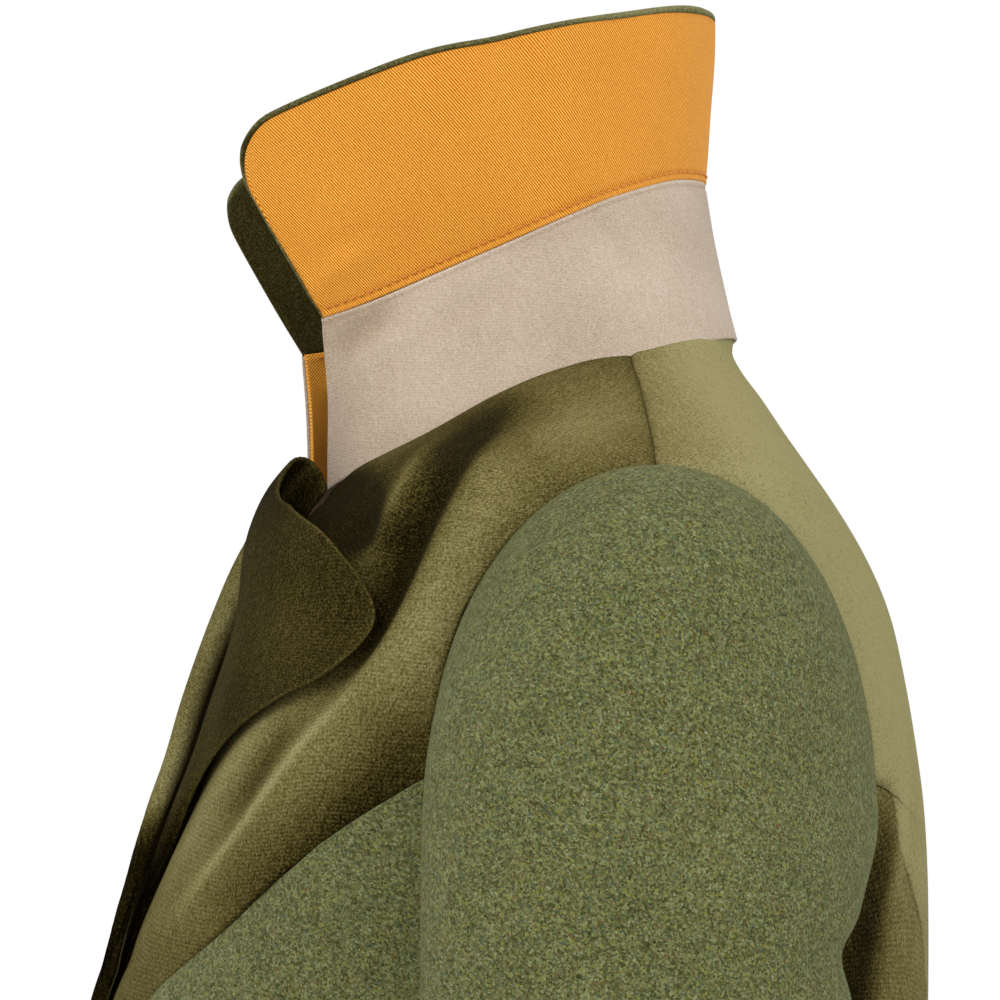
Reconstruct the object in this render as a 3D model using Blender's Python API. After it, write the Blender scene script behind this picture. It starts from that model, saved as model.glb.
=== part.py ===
"""Frock coat in its worn shape, hollow: collar turned up, right front lapped over the left.

Metres, +Z up. The origin lies midway between the two side neck points, where the wearer's
neck and shoulders carry the coat. +X is the wearer's left, and the wearer faces -Y.
Every cut piece is a thin wall on one body form. A place on that form is given by `turn`,
the degrees round from the centre front (0) past a side (90) to the centre back (180),
negative on the wearer's right, and by its height.
"""
import bpy
import bmesh
import numpy as np

# Cloth and sewing (metres)
WALL = 0.0016            # shell cloth with its lining
COLLAR_WALL = 0.0012     # one layer of the collar
SEAM = 0.0003            # gap between two pieces
PRESSED = 0.0006         # space between two layers pressed flat
SQUARE = 0.08            # how much the body rings are squarer than ellipses

PER_DEGREE = 0.0026      # length along the body of one degree of turn
PER_DEGREE_FRONT = 0.0029    # the same across the chest, where the form is wider

# Body form: columns are height, y of the front, of the side and of the back, half width
RINGS = [
    (0.0220, -0.018, 0.007, 0.0400, 0.047),
    (0.0148, -0.022, 0.005, 0.0415, 0.056),
    (0.0055, -0.028, 0.002, 0.0400, 0.067),
    (0.0000, -0.034, 0.000, 0.0420, 0.075),
    (-0.0125, -0.053, 0.000, 0.0480, 0.103),
    (-0.0270, -0.075, 0.000, 0.0545, 0.137),
    (-0.0430, -0.103, 0.000, 0.0635, 0.172),
    (-0.0500, -0.109, 0.000, 0.0680, 0.184),
    (-0.0620, -0.115, 0.000, 0.0760, 0.191),
    (-0.0850, -0.123, 0.000, 0.0880, 0.193),
    (-0.1100, -0.131, 0.000, 0.0952, 0.193),
    (-0.1400, -0.140, 0.000, 0.1000, 0.190),
    (-0.1700, -0.1495, -0.001, 0.1025, 0.183),
    (-0.1950, -0.1620, -0.003, 0.1037, 0.175),
    (-0.2150, -0.1710, -0.005, 0.1039, 0.169),
    (-0.2450, -0.177, -0.010, 0.1030, 0.165),
    (-0.2750, -0.177, -0.013, 0.1003, 0.162),
    (-0.3100, -0.168, -0.018, 0.0945, 0.156),
    (-0.3500, -0.151, -0.022, 0.0860, 0.148),
    (-0.3850, -0.141, -0.024, 0.0820, 0.145),
    (-0.4300, -0.145, -0.022, 0.0920, 0.155),
    (-0.5000, -0.157, -0.018, 0.1130, 0.176),
    (-0.6000, -0.175, -0.014, 0.1380, 0.203),
    (-0.7800, -0.208, -0.008, 0.1800, 0.248),
    (-0.9800, -0.245, -0.004, 0.2250, 0.295),
]
WAIST = -0.385
HEM = -0.980

# Soft folds of the fronts, each a straight line seen from the side: columns are its start
# (y, z), its end (y, z), height and half width
FRONT_FOLDS = [
    (-0.070, -0.079, -0.145, -0.183, 0.0035, 0.010),
    (-0.104, -0.120, -0.134, -0.152, -0.0030, 0.008),
    (-0.120, -0.127, -0.166, -0.198, 0.0025, 0.009),
    (-0.030, -0.018, -0.066, -0.064, 0.0020, 0.009),
]
# Flares of the skirt, full at the hem and gone at the waist: columns are turn, half width
# and height
SKIRT_FLARES = [
    (34, 10, 0.011),
    (58, 10, -0.008),
    (82, 10, 0.012),
    (106, 9, -0.009),
    (128, 10, 0.013),
    (150, 9, -0.009),
    (168, 8, 0.008),
]
FLARE_GROWTH = 1.3       # power of the drop below the waist by which they grow

# Seam lines on the form: rows of (turn, height)
NECKLINE_FRONT = [(15, -0.043), (25, -0.0365), (29.5, -0.029), (36, -0.021),
                  (48, -0.0125), (63, -0.0055), (90, 0.0)]
NECKLINE_BACK = [(90, 0.0), (111, 0.0055), (142, 0.0110), (180, 0.0148)]
SHOULDER_TIP = (90, -0.050)      # top of the armhole
ROLL_LINE = [(15, -0.043), (10, -0.080), (6, -0.118), (2.5, -0.148), (-3.5, -0.200),
             (-10.7, -0.270)]
STYLE_LINE = [(-10.7, -0.270), (7, -0.246), (25, -0.2145), (36, -0.196), (47.5, -0.171)]
FRONT_EDGE = [(-10.7, -0.270), (-12, -0.330), (-12, WAIST)]
SKIRT_EDGE = [(-12, WAIST), (-9, -0.60), (-6, HEM)]
BACK_SEAM = [(135.5, -0.152), (138, -0.167), (145, -0.182), (152.5, -0.195), (157.5, -0.222),
             (160.5, -0.270), (161, -0.330), (161, WAIST)]
VENT_EDGE = [(180, WAIST), (180, -0.56), (178.4, HEM)]

# Armhole: an oval seen from the side
ARMHOLE_Y, ARMHOLE_Z = -0.002, -0.1486
ARMHOLE_DEPTH, ARMHOLE_RISE, ARMHOLE_DROP = 0.0715, SHOULDER_TIP[1] - ARMHOLE_Z, 0.066

# Turned-back lapel: its cut edge on the form, and its rise off the front. The columns of the
# rise are height, radius of the roll on the left and on the right, and lift of the cut edge
LAPEL_TOP = [(15, -0.043), (25, -0.051), (35, -0.060), (44.5, -0.071), (50, -0.085)]
LAPEL_EDGE = [(50, -0.085), (49.5, -0.099), (44.5, -0.112), (37, -0.121), (23, -0.131),
              (14.5, -0.139), (7.5, -0.149), (-0.5, -0.173), (-5.0, -0.225), (-9.8, -0.269)]
LAPEL_LIFT = [
    (-0.270, 0.0002, 0.0002, 0.0004),
    (-0.200, 0.0002, 0.0004, 0.0004),
    (-0.180, 0.0012, 0.0010, 0.0010),
    (-0.155, 0.0024, 0.0014, 0.0020),
    (-0.124, 0.0024, 0.0022, 0.0035),
    (-0.090, 0.0028, 0.0028, 0.0070),
    (-0.060, 0.0045, 0.0042, 0.0120),
    (-0.043, 0.0055, 0.0050, 0.0130),
]
# How far the right front stands off the left one, near the centre front: height, offset
LAP = [(-0.98, 0.0032), (-0.40, 0.0032), (-0.33, 0.0034), (-0.27, 0.0054), (-0.215, 0.0054),
       (-0.200, 0.0060), (-0.185, 0.0070), (-0.168, 0.0088), (-0.130, 0.0098),
       (-0.090, 0.0085), (-0.050, 0.0030), (-0.020, 0.0)]
LAP_FULL, LAP_END = 13, 40          # degrees of turn where the offset starts to fade, and ends

# Collar: columns are turn of the neckline, point of the seam between stand and fall, and
# point of the fall's upper edge
COLLAR = [
    (15, (0.0500, -0.1028, 0.0138), (0.0535, -0.1380, 0.0735)),
    (25, (0.0585, -0.0868, 0.0187), (0.0680, -0.1165, 0.0830)),
    (36, (0.0670, -0.0538, 0.0323), (0.0810, -0.0846, 0.0948)),
    (62, (0.0660, -0.0201, 0.0477), (0.0840, -0.0446, 0.1050)),
    (90, (0.0580, -0.0026, 0.0559), (0.0790, -0.0200, 0.1115)),
    (111, (0.0450, 0.0124, 0.0621), (0.0650, 0.0000, 0.1170)),
    (145, (0.0250, 0.0260, 0.0662), (0.0400, 0.0235, 0.1238)),
    (180, (0.0000, 0.0318, 0.0678), (0.0000, 0.0355, 0.1268)),
]
COLLAR_CORNER = 11       # degrees of turn taken by the round corner of the fall
COLLAR_CORNER_CUT = 0.28    # part of the fall's height taken by that corner
COLLAR_TURN_OVER = 0.0022   # velvet showing round the edge of the twill

# Sleeve: level rings below the armhole, drooping to the front. Columns are height, centre x,
# centre y, half width across, half depth and tilt
ARM_RINGS = [
    (-0.235, 0.2215, -0.0095, 0.0480, 0.0690, 0.00),
    (-0.300, 0.2260, -0.0075, 0.0465, 0.0665, 0.05),
    (-0.360, 0.2300, -0.0060, 0.0450, 0.0630, 0.12),
    (-0.430, 0.2350, -0.0190, 0.0425, 0.0570, 0.20),
    (-0.500, 0.2410, -0.0360, 0.0400, 0.0510, 0.25),
    (-0.560, 0.2480, -0.0540, 0.0380, 0.0475, 0.30),
    (-0.625, 0.2560, -0.0750, 0.0360, 0.0450, 0.32),
]
CAP_OUT = np.array([1.0, 0, -0.30])      # way the cap leaves the armhole at its top
CAP_DOWN = np.array([0.45, 0, -0.9])     # and at its bottom
CAP_LEAN = 0.35          # part of the body's outward way in the first of them
CAP_START, CAP_END = 1.25, 1.1           # pull of the cap's curve at the armhole and the arm
ARM_HANG = np.array([0.06, 0.01, -1.0])  # way the sleeve hangs at its first ring
ELBOW_FOLD = (92, -0.199, 34, 0.011, 0.0070)     # round, height, half widths, depth
SLEEVE_SPLIT_BACK, SLEEVE_SPLIT_FRONT = 120, 240  # degrees round the arm from its outer side

BUTTON_HEIGHTS = (-0.290, -0.324, -0.358)
BUTTON_STAND = 0.0010    # thread between button and cloth
BUTTON_RADIUS, BUTTON_DOME, BUTTON_EDGE = 0.0110, 0.0030, 0.0022
BUTTON_CHAMFER, BUTTON_SIDES = 0.0015, 20

# Spans over which a slope of the form, the collar or the sleeve is measured
TURN_SPAN, HEIGHT_SPAN = 0.05, 2e-4
COLLAR_SPAN, AROUND_SPAN, DOWN_SPAN = 0.2, 0.5, 0.02

# Grid steps
ARM_STEPS, FRONT_NECK_STEPS, BACK_NECK_STEPS, SHOULDER_STEPS, FRONT_STEPS = 6, 8, 5, 4, 12
SIDE_STEPS, SKIRT_STEPS, CAP_STEPS, SLEEVE_STEPS, STAND_STEPS = 5, 6, 4, 7, 2
FLAP_STEPS, ROLL_STEPS, DOME_STEPS = 5, 3, 3
ROLL_PACE = 0.90         # part of the roll line that goes with the armhole, below the shoulder
CENTRE_SEAM, CENTRE_HOLE = 0.525, 0.885  # parts of the centre back that end level with the
                         # curved back seam and with the armhole

COLOURS = {
    "velvet": ((0.075, 0.062, 0.018, 1), 0.85),
    "green_velvet": ((0.060, 0.058, 0.018, 1), 0.85),
    "beige_velvet": ((0.610, 0.510, 0.400, 1), 0.80),
    "twill": ((0.760, 0.310, 0.030, 1), 0.75),
    "tweed": ((0.125, 0.155, 0.055, 1), 0.95),
}


def smooth(knots, values, at):
    """Cubic through the values at the knots; a knot's slope comes from its neighbours."""
    knots, values = np.asarray(knots, float), np.asarray(values, float)
    at = np.clip(np.asarray(at, float), knots[0], knots[-1])
    slope = np.gradient(values, knots, axis=0)
    k = np.clip(np.searchsorted(knots, at, side="right") - 1, 0, len(knots) - 2)
    span = knots[k + 1] - knots[k]
    f = (at - knots[k]) / span
    if values.ndim > 1:
        f, span = f[..., None], span[..., None]
    rise = values[k + 1] - values[k]
    start, end = slope[k] * span, slope[k + 1] * span
    return values[k] + f * start + f * f * (3 * rise - 2 * start - end) \
        + f ** 3 * (start + end - 2 * rise)


def table(rows, at):
    """Columns of a table, read smoothly at a value of its first column."""
    rows = np.array(sorted(rows), float)
    return np.moveaxis(smooth(rows[:, 0], rows[:, 1:], at), -1, 0)


def paced(*runs):
    """Fractions along a line: each run is the fraction where it ends and its steps."""
    ends = [0.0] + [end for end, _ in runs]
    parts = [np.linspace(ends[i], ends[i + 1], steps + 1)[1:]
             for i, (_, steps) in enumerate(runs)]
    return np.concatenate([[0.0]] + parts)


def line(rows, steps):
    """Seam line through rows of (turn, height), in equal steps or at given fractions."""
    rows = np.array(rows, float)
    length = np.hypot(np.diff(rows[:, 0]) * PER_DEGREE, np.diff(rows[:, 1]))
    knots = np.concatenate(([0], np.cumsum(length)))
    if np.ndim(steps) == 0:
        steps = paced((1.0, steps))
    return smooth(knots, rows, np.asarray(steps) * knots[-1])


def ring_point(turn, height):
    """Body form: x = half width * sin, y = side - depth * cos, on a ring squared a little."""
    front, side, back, half = table(RINGS, height)
    angle = np.radians(turn)
    lean = SQUARE * np.sin(2 * angle)
    depth = np.where(np.cos(angle) > 0, side - front, back - side)
    return np.stack([half * np.sin(angle + lean), side - depth * np.cos(angle - lean),
                     height + 0 * angle], axis=-1)


def turn_at(y, height):
    """Turn of the form's point with this y and height (the inverse of ring_point)."""
    front, side, back, _ = table(RINGS, height)
    depth = np.where(y < side, side - front, back - side)
    across = np.arccos(np.clip((side - y) / depth, -1, 1))
    angle = across
    for _ in range(40):
        angle = across + SQUARE * np.sin(2 * angle)
    return np.degrees(angle)


def folds(point, turn):
    """Rise of the soft folds: a bell across each fold, fading at its ends, and the flares."""
    y, z = point[..., 1], point[..., 2]
    rise = np.zeros(y.shape)
    for y0, z0, y1, z1, height, half in FRONT_FOLDS:
        run = np.hypot(y1 - y0, z1 - z0)
        along = ((y - y0) * (y1 - y0) + (z - z0) * (z1 - z0)) / run ** 2
        aside = ((y - y0) * (z1 - z0) - (z - z0) * (y1 - y0)) / run
        fade = np.clip(1 - (2 * along - 1) ** 2, 0, 1)
        rise += height * fade * np.exp(-(aside / half) ** 2)
    drop = np.clip((WAIST - z) / (WAIST - HEM), 0, 1) ** FLARE_GROWTH
    for middle, half, height in SKIRT_FLARES:
        rise += height * drop * np.exp(-((np.abs(turn) - middle) / half) ** 2)
    return rise


def lap(turn, height, side):
    """Extra height of the right front where it lies on the left one."""
    fade = np.clip((LAP_END - turn) / (LAP_END - LAP_FULL), 0, 1)
    return 0.0 if side > 0 else table(LAP, height)[0] * fade * fade * (3 - 2 * fade)


def unit(vector):
    return vector / np.linalg.norm(vector, axis=-1, keepdims=True)


def outward(turn, height):
    """Unit normal of the body form, the cross product of its two tangents."""
    round_way = ring_point(turn + TURN_SPAN, height) - ring_point(turn - TURN_SPAN, height)
    up_way = ring_point(turn, height + HEIGHT_SPAN) - ring_point(turn, height - HEIGHT_SPAN)
    return unit(np.cross(round_way, up_way))


def cloth(turn, height, out=0.0, side=1):
    """Point on one side of the coat, moved out from the form by `out` and by its folds."""
    turn, height = np.broadcast_arrays(np.asarray(turn, float), np.asarray(height, float))
    point = ring_point(turn, height)
    rise = out + folds(point, turn) + lap(turn, height, side)
    moved = point + outward(turn, height) * np.asarray(rise)[..., None]
    return moved * (side, 1, 1)


def patch(bottom, top, start, end):
    """Coons patch: grid between four boundary lines that meet at their corners."""
    u = np.linspace(0, 1, len(bottom))[None, :, None]
    v = np.linspace(0, 1, len(start))[:, None, None]
    flat = (1 - v) * ((1 - u) * start[0] + u * end[0]) + v * ((1 - u) * start[-1] + u * end[-1])
    return (1 - v) * bottom + v * top + (1 - u) * start[:, None] + u * end[:, None] - flat


def trim(grid, gap=SEAM / 2):
    """Pull the four edges of a grid of points in by half the seam gap."""
    grid = grid.copy()
    for edge, inside in ((0, 1), (-1, -2)):
        grid[edge] += unit(grid[inside] - grid[edge]) * gap
        grid[:, edge] += unit(grid[:, inside] - grid[:, edge]) * gap
    return grid


def solid(name, outer, inner, finish, flip=False):
    """Closed wall between two grids of points, its rim joined edge to edge."""
    rows, columns = outer.shape[:2]
    index = np.arange(rows * columns).reshape(rows, columns)
    under = index + rows * columns
    rim = np.concatenate([index[0, :-1], index[:-1, -1], index[-1, :0:-1], index[:0:-1, 0]])
    after = np.roll(rim, -1)
    faces = np.stack([index[:-1, :-1], index[:-1, 1:], index[1:, 1:], index[1:, :-1]], -1)
    back = np.stack([under[:-1, :-1], under[1:, :-1], under[1:, 1:], under[:-1, 1:]], -1)
    edge = np.stack([rim, rim + rows * columns, after + rows * columns, after], -1)
    faces = np.concatenate([faces.reshape(-1, 4), back.reshape(-1, 4), edge])
    if flip:
        faces = faces[:, ::-1]
    mesh = bpy.data.meshes.new(name)
    points = np.concatenate([outer.reshape(-1, 3), inner.reshape(-1, 3)])
    mesh.from_pydata(points.tolist(), [], faces.tolist())
    mesh.shade_smooth()
    place(name, mesh, finish)


def place(name, mesh, finish):
    """Named object with its material, in the coat's collection."""
    mesh.materials.append(materials[finish])
    coat.objects.link(bpy.data.objects.new(name, mesh))


def material(name, colour, roughness):
    made = bpy.data.materials.new(name)
    made.use_nodes = True
    shader = made.node_tree.nodes["Principled BSDF"]
    shader.inputs["Base Color"].default_value = colour
    shader.inputs["Roughness"].default_value = roughness
    return made


def panel(name, grid, side, finish):
    """Cut piece on the form: outer face on the form, inner face one wall inside it."""
    turn, height = grid[..., 0], grid[..., 1]
    outer = trim(cloth(turn, height, 0.0, side))
    inner = trim(cloth(turn, height, -WALL, side))
    solid(name, outer, inner, finish, flip=side < 0)


def armhole(around):
    """Armhole oval as (turn, height); `around` is 0 at its top, 90 at the back."""
    a = np.radians(around)
    reach = np.where(np.cos(a) > 0, ARMHOLE_RISE, ARMHOLE_DROP)
    height = ARMHOLE_Z + reach * np.cos(a)
    return np.stack([turn_at(ARMHOLE_Y + ARMHOLE_DEPTH * np.sin(a), height), height], -1)


def seam_down(turn, top, bottom, steps):
    return np.stack([np.full(steps + 1, float(turn)), np.linspace(top, bottom, steps + 1)], -1)


def cut_body(side, hand):
    """The five cut pieces of one side of the body."""
    quarter = np.linspace(0, 90, ARM_STEPS + 1)
    front_hole = armhole(360 - np.linspace(90, 0, FRONT_STEPS + 1))
    under_front = armhole(270 - quarter)
    under_back = armhole(180 - quarter)
    back_hole = armhole(90 - quarter)
    shoulder = line([NECKLINE_BACK[0], front_hole[-1]], SHOULDER_STEPS)
    pit = under_front[-1]
    style = line(STYLE_LINE + [tuple(front_hole[0])], FRONT_NECK_STEPS)
    join = np.concatenate

    # Upper front: roll line, neckline, shoulder and armhole, style line
    roll = line(ROLL_LINE[::-1], paced((ROLL_PACE, FRONT_STEPS), (1.0, SHOULDER_STEPS)))
    outside = join([front_hole, shoulder[-2::-1]])
    top = line(NECKLINE_FRONT, FRONT_NECK_STEPS)
    panel("front_upper_" + hand, patch(style, top, roll, outside), side, "velvet")

    # Lower front: front edge, style line and armhole, side seam, waist
    top = join([style, under_front[1:]])
    edge = line(FRONT_EDGE, SIDE_STEPS)[::-1]
    side_seam = seam_down(90, WAIST, pit[1], SIDE_STEPS)
    turns = np.interp(np.linspace(0, 1, len(top)), (0, 1), (edge[0, 0], 90))
    waist_front = np.stack([turns, np.full(len(top), WAIST)], -1)
    panel("front_lower_" + hand, patch(waist_front, top, edge, side_seam), side, "tweed")

    # Side back: side seam, armhole, curved back seam, waist
    back_seam = line([tuple(back_hole[0])] + BACK_SEAM, 2 * SIDE_STEPS)[::-1]
    turns = np.linspace(90, back_seam[0, 0], ARM_STEPS + 1)
    waist_side = np.stack([turns, np.full(ARM_STEPS + 1, WAIST)], -1)
    side_seam = seam_down(90, WAIST, pit[1], 2 * SIDE_STEPS)
    panel("side_back_" + hand, patch(waist_side, under_back, side_seam, back_seam), side,
          "velvet")

    # Back: curved back seam, armhole and shoulder, neckline, centre back, waist
    start = join([back_seam, back_hole[1:], shoulder[-2::-1]])
    top = line(NECKLINE_BACK, BACK_NECK_STEPS)
    turns = np.linspace(back_seam[0, 0], 180, len(top))
    waist_back = np.stack([turns, np.full(len(top), WAIST)], -1)
    centre = line([(180, WAIST), NECKLINE_BACK[-1]],
                  paced((CENTRE_SEAM, 2 * SIDE_STEPS), (CENTRE_HOLE, ARM_STEPS),
                        (1.0, SHOULDER_STEPS)))
    panel("back_" + hand, patch(waist_back, top, start, centre), side, "velvet")

    # Skirts
    edge = line(SKIRT_EDGE, SKIRT_STEPS)[::-1]
    side_seam = seam_down(90, HEM, WAIST, SKIRT_STEPS)
    hem = np.stack([np.linspace(edge[0, 0], 90, len(waist_front)),
                    np.full(len(waist_front), HEM)], -1)
    panel("skirt_front_" + hand, patch(hem, waist_front, edge, side_seam), side, "tweed")
    waist = join([waist_side, waist_back[1:]])
    vent = line(VENT_EDGE, SKIRT_STEPS)[::-1]
    hem = np.stack([np.linspace(90, vent[0, 0], len(waist)), np.full(len(waist), HEM)], -1)
    panel("skirt_back_" + hand, patch(hem, waist, side_seam, vent), side, "velvet")


def cut_lapel(side, hand):
    """Lapel: from the roll line it turns over in a round fold and lies on the front."""
    pace = paced((ROLL_PACE, FRONT_STEPS), (1.0, SHOULDER_STEPS))
    roll = line(ROLL_LINE[::-1], pace)[::-1]
    edge = line(LAPEL_EDGE[::-1], pace)[::-1]
    top = line(LAPEL_TOP, FLAP_STEPS)
    tail = np.linspace(roll[-1], edge[-1], FLAP_STEPS + 1)
    flap = patch(top, tail, roll, edge)
    roll_left, roll_right, edge_lift = table(LAPEL_LIFT, flap[..., 1])
    radius = (roll_left if side > 0 else roll_right)[:, :1]
    share = np.linspace(0, 1, FLAP_STEPS + 1)[None, :]
    lift = 2 * radius * (1 - share) ** 2 + edge_lift * (1 - (1 - share) ** 2) + PRESSED
    way = (flap[:, 1] - flap[:, 0]) / np.linalg.norm(
        (flap[:, 1] - flap[:, 0]) * (PER_DEGREE_FRONT, 1), axis=-1, keepdims=True)

    bend = np.linspace(0, np.pi, ROLL_STEPS + 1)[None, :-1]
    rim = radius + PRESSED / 2
    grids = []
    for wall in (WALL, 0.0):
        aside = -(rim + wall) * np.sin(bend) - SEAM
        out = rim - (rim + wall) * np.cos(bend)
        place_at = roll[:, None] + way[:, None] * aside[..., None]
        fold = cloth(place_at[..., 0], place_at[..., 1], out, side)
        over = cloth(flap[..., 0], flap[..., 1], lift + wall, side)
        grids.append(trim(np.concatenate([fold, over], axis=1)))
    solid("lapel_" + hand, grids[0], grids[1], "velvet", flip=side > 0)


def collar_face(turn, rise):
    """Collar's outer face: rise 0 to 1 from neckline to seam, 1 to 2 from seam to edge."""
    rows = np.array([(row[0],) + row[1] + row[2] for row in COLLAR])
    mirror = rows[-2::-1] * (1, -1, 1, 1, -1, 1, 1)
    mirror[:, 0] = 360 - mirror[:, 0]
    rows = np.concatenate([rows, mirror])
    seam_edge = smooth(rows[:, 0], rows[:, 1:], turn)
    half = np.where(turn > 180, 360 - turn, turn)
    heights = np.where(half < 90, on_line(NECKLINE_FRONT, half), on_line(NECKLINE_BACK, half))
    neck = cloth(half, heights) * np.stack([np.where(turn > 180, -1, 1), half * 0 + 1,
                                            half * 0 + 1], -1)
    neck[..., 2] += SEAM
    seam, edge = seam_edge[..., :3], seam_edge[..., 3:]
    rise = rise[..., None]
    stand = neck + (seam - neck) * np.clip(rise, 0, 1)
    return np.where(rise <= 1, stand, seam + (edge - seam) * (rise - 1))


def on_line(rows, turn):
    """Height of a seam line at a turn, for a line whose turn only grows."""
    fine = line(rows, 200)
    return np.interp(turn, fine[:, 0], fine[:, 1])


def collar_layer(name, low, high, outside, inside, finish, turn_over=0.0):
    """One layer of the collar, between two rises and two depths under the outer face."""
    turn = np.concatenate([line(NECKLINE_FRONT, FRONT_NECK_STEPS)[:, 0],
                           line(NECKLINE_BACK, BACK_NECK_STEPS)[1:, 0]])
    turn = np.concatenate([turn, 360 - turn[-2::-1]])
    end = np.minimum(turn - turn[0], turn[-1] - turn)
    corner = np.clip(1 - end / COLLAR_CORNER, 0, 1)
    cut = COLLAR_CORNER_CUT * (1 - np.sqrt(1 - corner ** 2)) if high > 1 else 0 * turn
    steps = np.linspace(0, 1, STAND_STEPS + (high > 1) + 1)[:, None]
    rise = low + (high - cut[None, :] - low) * steps
    turn = np.broadcast_to(turn, rise.shape)
    face = collar_face(turn, rise)
    round_way = collar_face(turn + COLLAR_SPAN, rise) - collar_face(turn - COLLAR_SPAN, rise)
    up_way = collar_face(turn, np.full(rise.shape, high)) \
        - collar_face(turn, np.full(rise.shape, low))
    normal = unit(np.cross(round_way, up_way))
    outer, inner = (trim(face - normal * depth) for depth in (outside, inside))
    if turn_over:
        outer, inner = (trim(grid, turn_over) for grid in (outer, inner))
    solid(name, outer, inner, finish)


def sleeve_face(around, down):
    """Sleeve's outer face: `around` the arm, `down` 0 armhole, 1 first ring, 2 cuff."""
    angle = np.radians(around)
    hole = armhole(around)
    start = cloth(hole[..., 0], hole[..., 1])
    low = np.clip(-np.cos(angle), 0, 1)[..., None]
    off_body = outward(hole[..., 0], hole[..., 1])
    away = unit((1 - low) * (CAP_OUT + CAP_LEAN * off_body) + low * CAP_DOWN)

    def arm(height):
        x, y, across, depth, tilt = table(ARM_RINGS, height)
        return np.stack([x + across * np.cos(angle), y + depth * np.sin(angle),
                         height + tilt * depth * -np.sin(angle)], -1)

    first, cuff = ARM_RINGS[0][0], ARM_RINGS[-1][0]
    ring = arm(np.full(angle.shape, first))
    length = np.linalg.norm(ring - start, axis=-1, keepdims=True)
    f = np.clip(down, 0, 1)[..., None]
    start = start + away * SEAM
    begin = away * length * CAP_START
    finish = ARM_HANG * length * CAP_END
    rise = ring - start
    cap = start + f * begin + f * f * (3 * rise - 2 * begin - finish) \
        + f ** 3 * (begin + finish - 2 * rise)
    tube = arm(first + (cuff - first) * np.clip(down - 1, 0, 1))
    return np.where(down[..., None] <= 1, cap, tube)


def sleeve_piece(name, first, last, side):
    """One cut piece of a sleeve, between two angles round the arm."""
    around = np.arange(first, last + 1, 90 / ARM_STEPS)
    down = np.concatenate([np.linspace(0, 1, CAP_STEPS + 1),
                           np.linspace(1, 2, SLEEVE_STEPS)[1:]])
    around, down = np.meshgrid(around, down)
    face = sleeve_face(around, down)
    round_way = sleeve_face(around + AROUND_SPAN, down) - sleeve_face(around - AROUND_SPAN, down)
    down_way = sleeve_face(around, np.clip(down + DOWN_SPAN, 0, 2)) \
        - sleeve_face(around, np.clip(down - DOWN_SPAN, 0, 2))
    normal = unit(np.cross(down_way, round_way))
    middle, height, half_round, half_high, depth = ELBOW_FOLD
    turned = (around - middle + 180) % 360 - 180
    dent = depth * np.exp(-(turned / half_round) ** 2 - ((face[..., 2] - height) / half_high) ** 2)
    outer = face - normal * dent[..., None]
    inner = outer - normal * WALL
    solid(name, trim(outer) * (side, 1, 1), trim(inner) * (side, 1, 1), "tweed", flip=side > 0)


def button(name, height):
    """Domed cloth button: a turned profile, standing on the right front."""
    foot = cloth(0.0, height, BUTTON_STAND, -1)
    normal = unit(foot - cloth(0.0, height, 0.0, -1))
    side_way = np.array([1.0, 0, 0])
    up_way = np.cross(normal, side_way)
    bend = np.linspace(0, np.pi / 2, DOME_STEPS + 1)[:-1]
    radii = np.concatenate([[BUTTON_RADIUS - BUTTON_CHAMFER], BUTTON_RADIUS * np.cos(bend)])
    rise = np.concatenate([[0.0], BUTTON_EDGE + BUTTON_DOME * np.sin(bend)])
    mesh = bpy.data.meshes.new(name)
    work = bmesh.new()
    rings = []
    for r, h in zip(radii, rise):
        ring = []
        for a in np.linspace(0, 2 * np.pi, BUTTON_SIDES, endpoint=False):
            ring.append(work.verts.new(foot + normal * h
                                       + r * (side_way * np.cos(a) + up_way * np.sin(a))))
        rings.append(ring)
    for low, high in zip(rings, rings[1:]):
        for a in range(BUTTON_SIDES):
            b = (a + 1) % BUTTON_SIDES
            work.faces.new((low[a], low[b], high[b], high[a]))
    work.faces.new(rings[0][::-1])
    work.faces.new(rings[-1])
    bmesh.ops.recalc_face_normals(work, faces=work.faces)
    work.to_mesh(mesh)
    work.free()
    place(name, mesh, "tweed")


for old in list(bpy.data.objects):
    bpy.data.objects.remove(old, do_unlink=True)
coat = bpy.data.collections.new("frock_coat")
bpy.context.scene.collection.children.link(coat)
materials = {name: material(name, *look) for name, look in COLOURS.items()}

for side, hand in ((1, "left"), (-1, "right")):
    cut_body(side, hand)
    cut_lapel(side, hand)
    sleeve_piece("sleeve_upper_" + hand, SLEEVE_SPLIT_FRONT - 360, SLEEVE_SPLIT_BACK, side)
    sleeve_piece("sleeve_under_" + hand, SLEEVE_SPLIT_BACK, SLEEVE_SPLIT_FRONT, side)

layer = COLLAR_WALL + SEAM
collar_layer("collar_stand_outer", 0, 1, 0, COLLAR_WALL, "beige_velvet")
collar_layer("collar_stand_inner", 0, 1, layer, layer + COLLAR_WALL, "twill")
collar_layer("collar_fall_outer", 1, 2, 0, COLLAR_WALL, "twill", COLLAR_TURN_OVER)
collar_layer("collar_fall_inner", 1, 2, layer, layer + COLLAR_WALL, "green_velvet")

for number, height in enumerate(BUTTON_HEIGHTS, 1):
    button("front_button_%d" % number, height)
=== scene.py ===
"""Looks of a frock coat in its worn shape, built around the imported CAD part.

Metres, +Z up, the origin midway between the side neck points; +X is the wearer's left and
the wearer faces -Y. A place on the coat is given by `turn`, the degrees round from the centre
front (0) past a side (90) to the centre back (180), and by its height.
"""

import bpy
import numpy as np
from mathutils import Matrix


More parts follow.
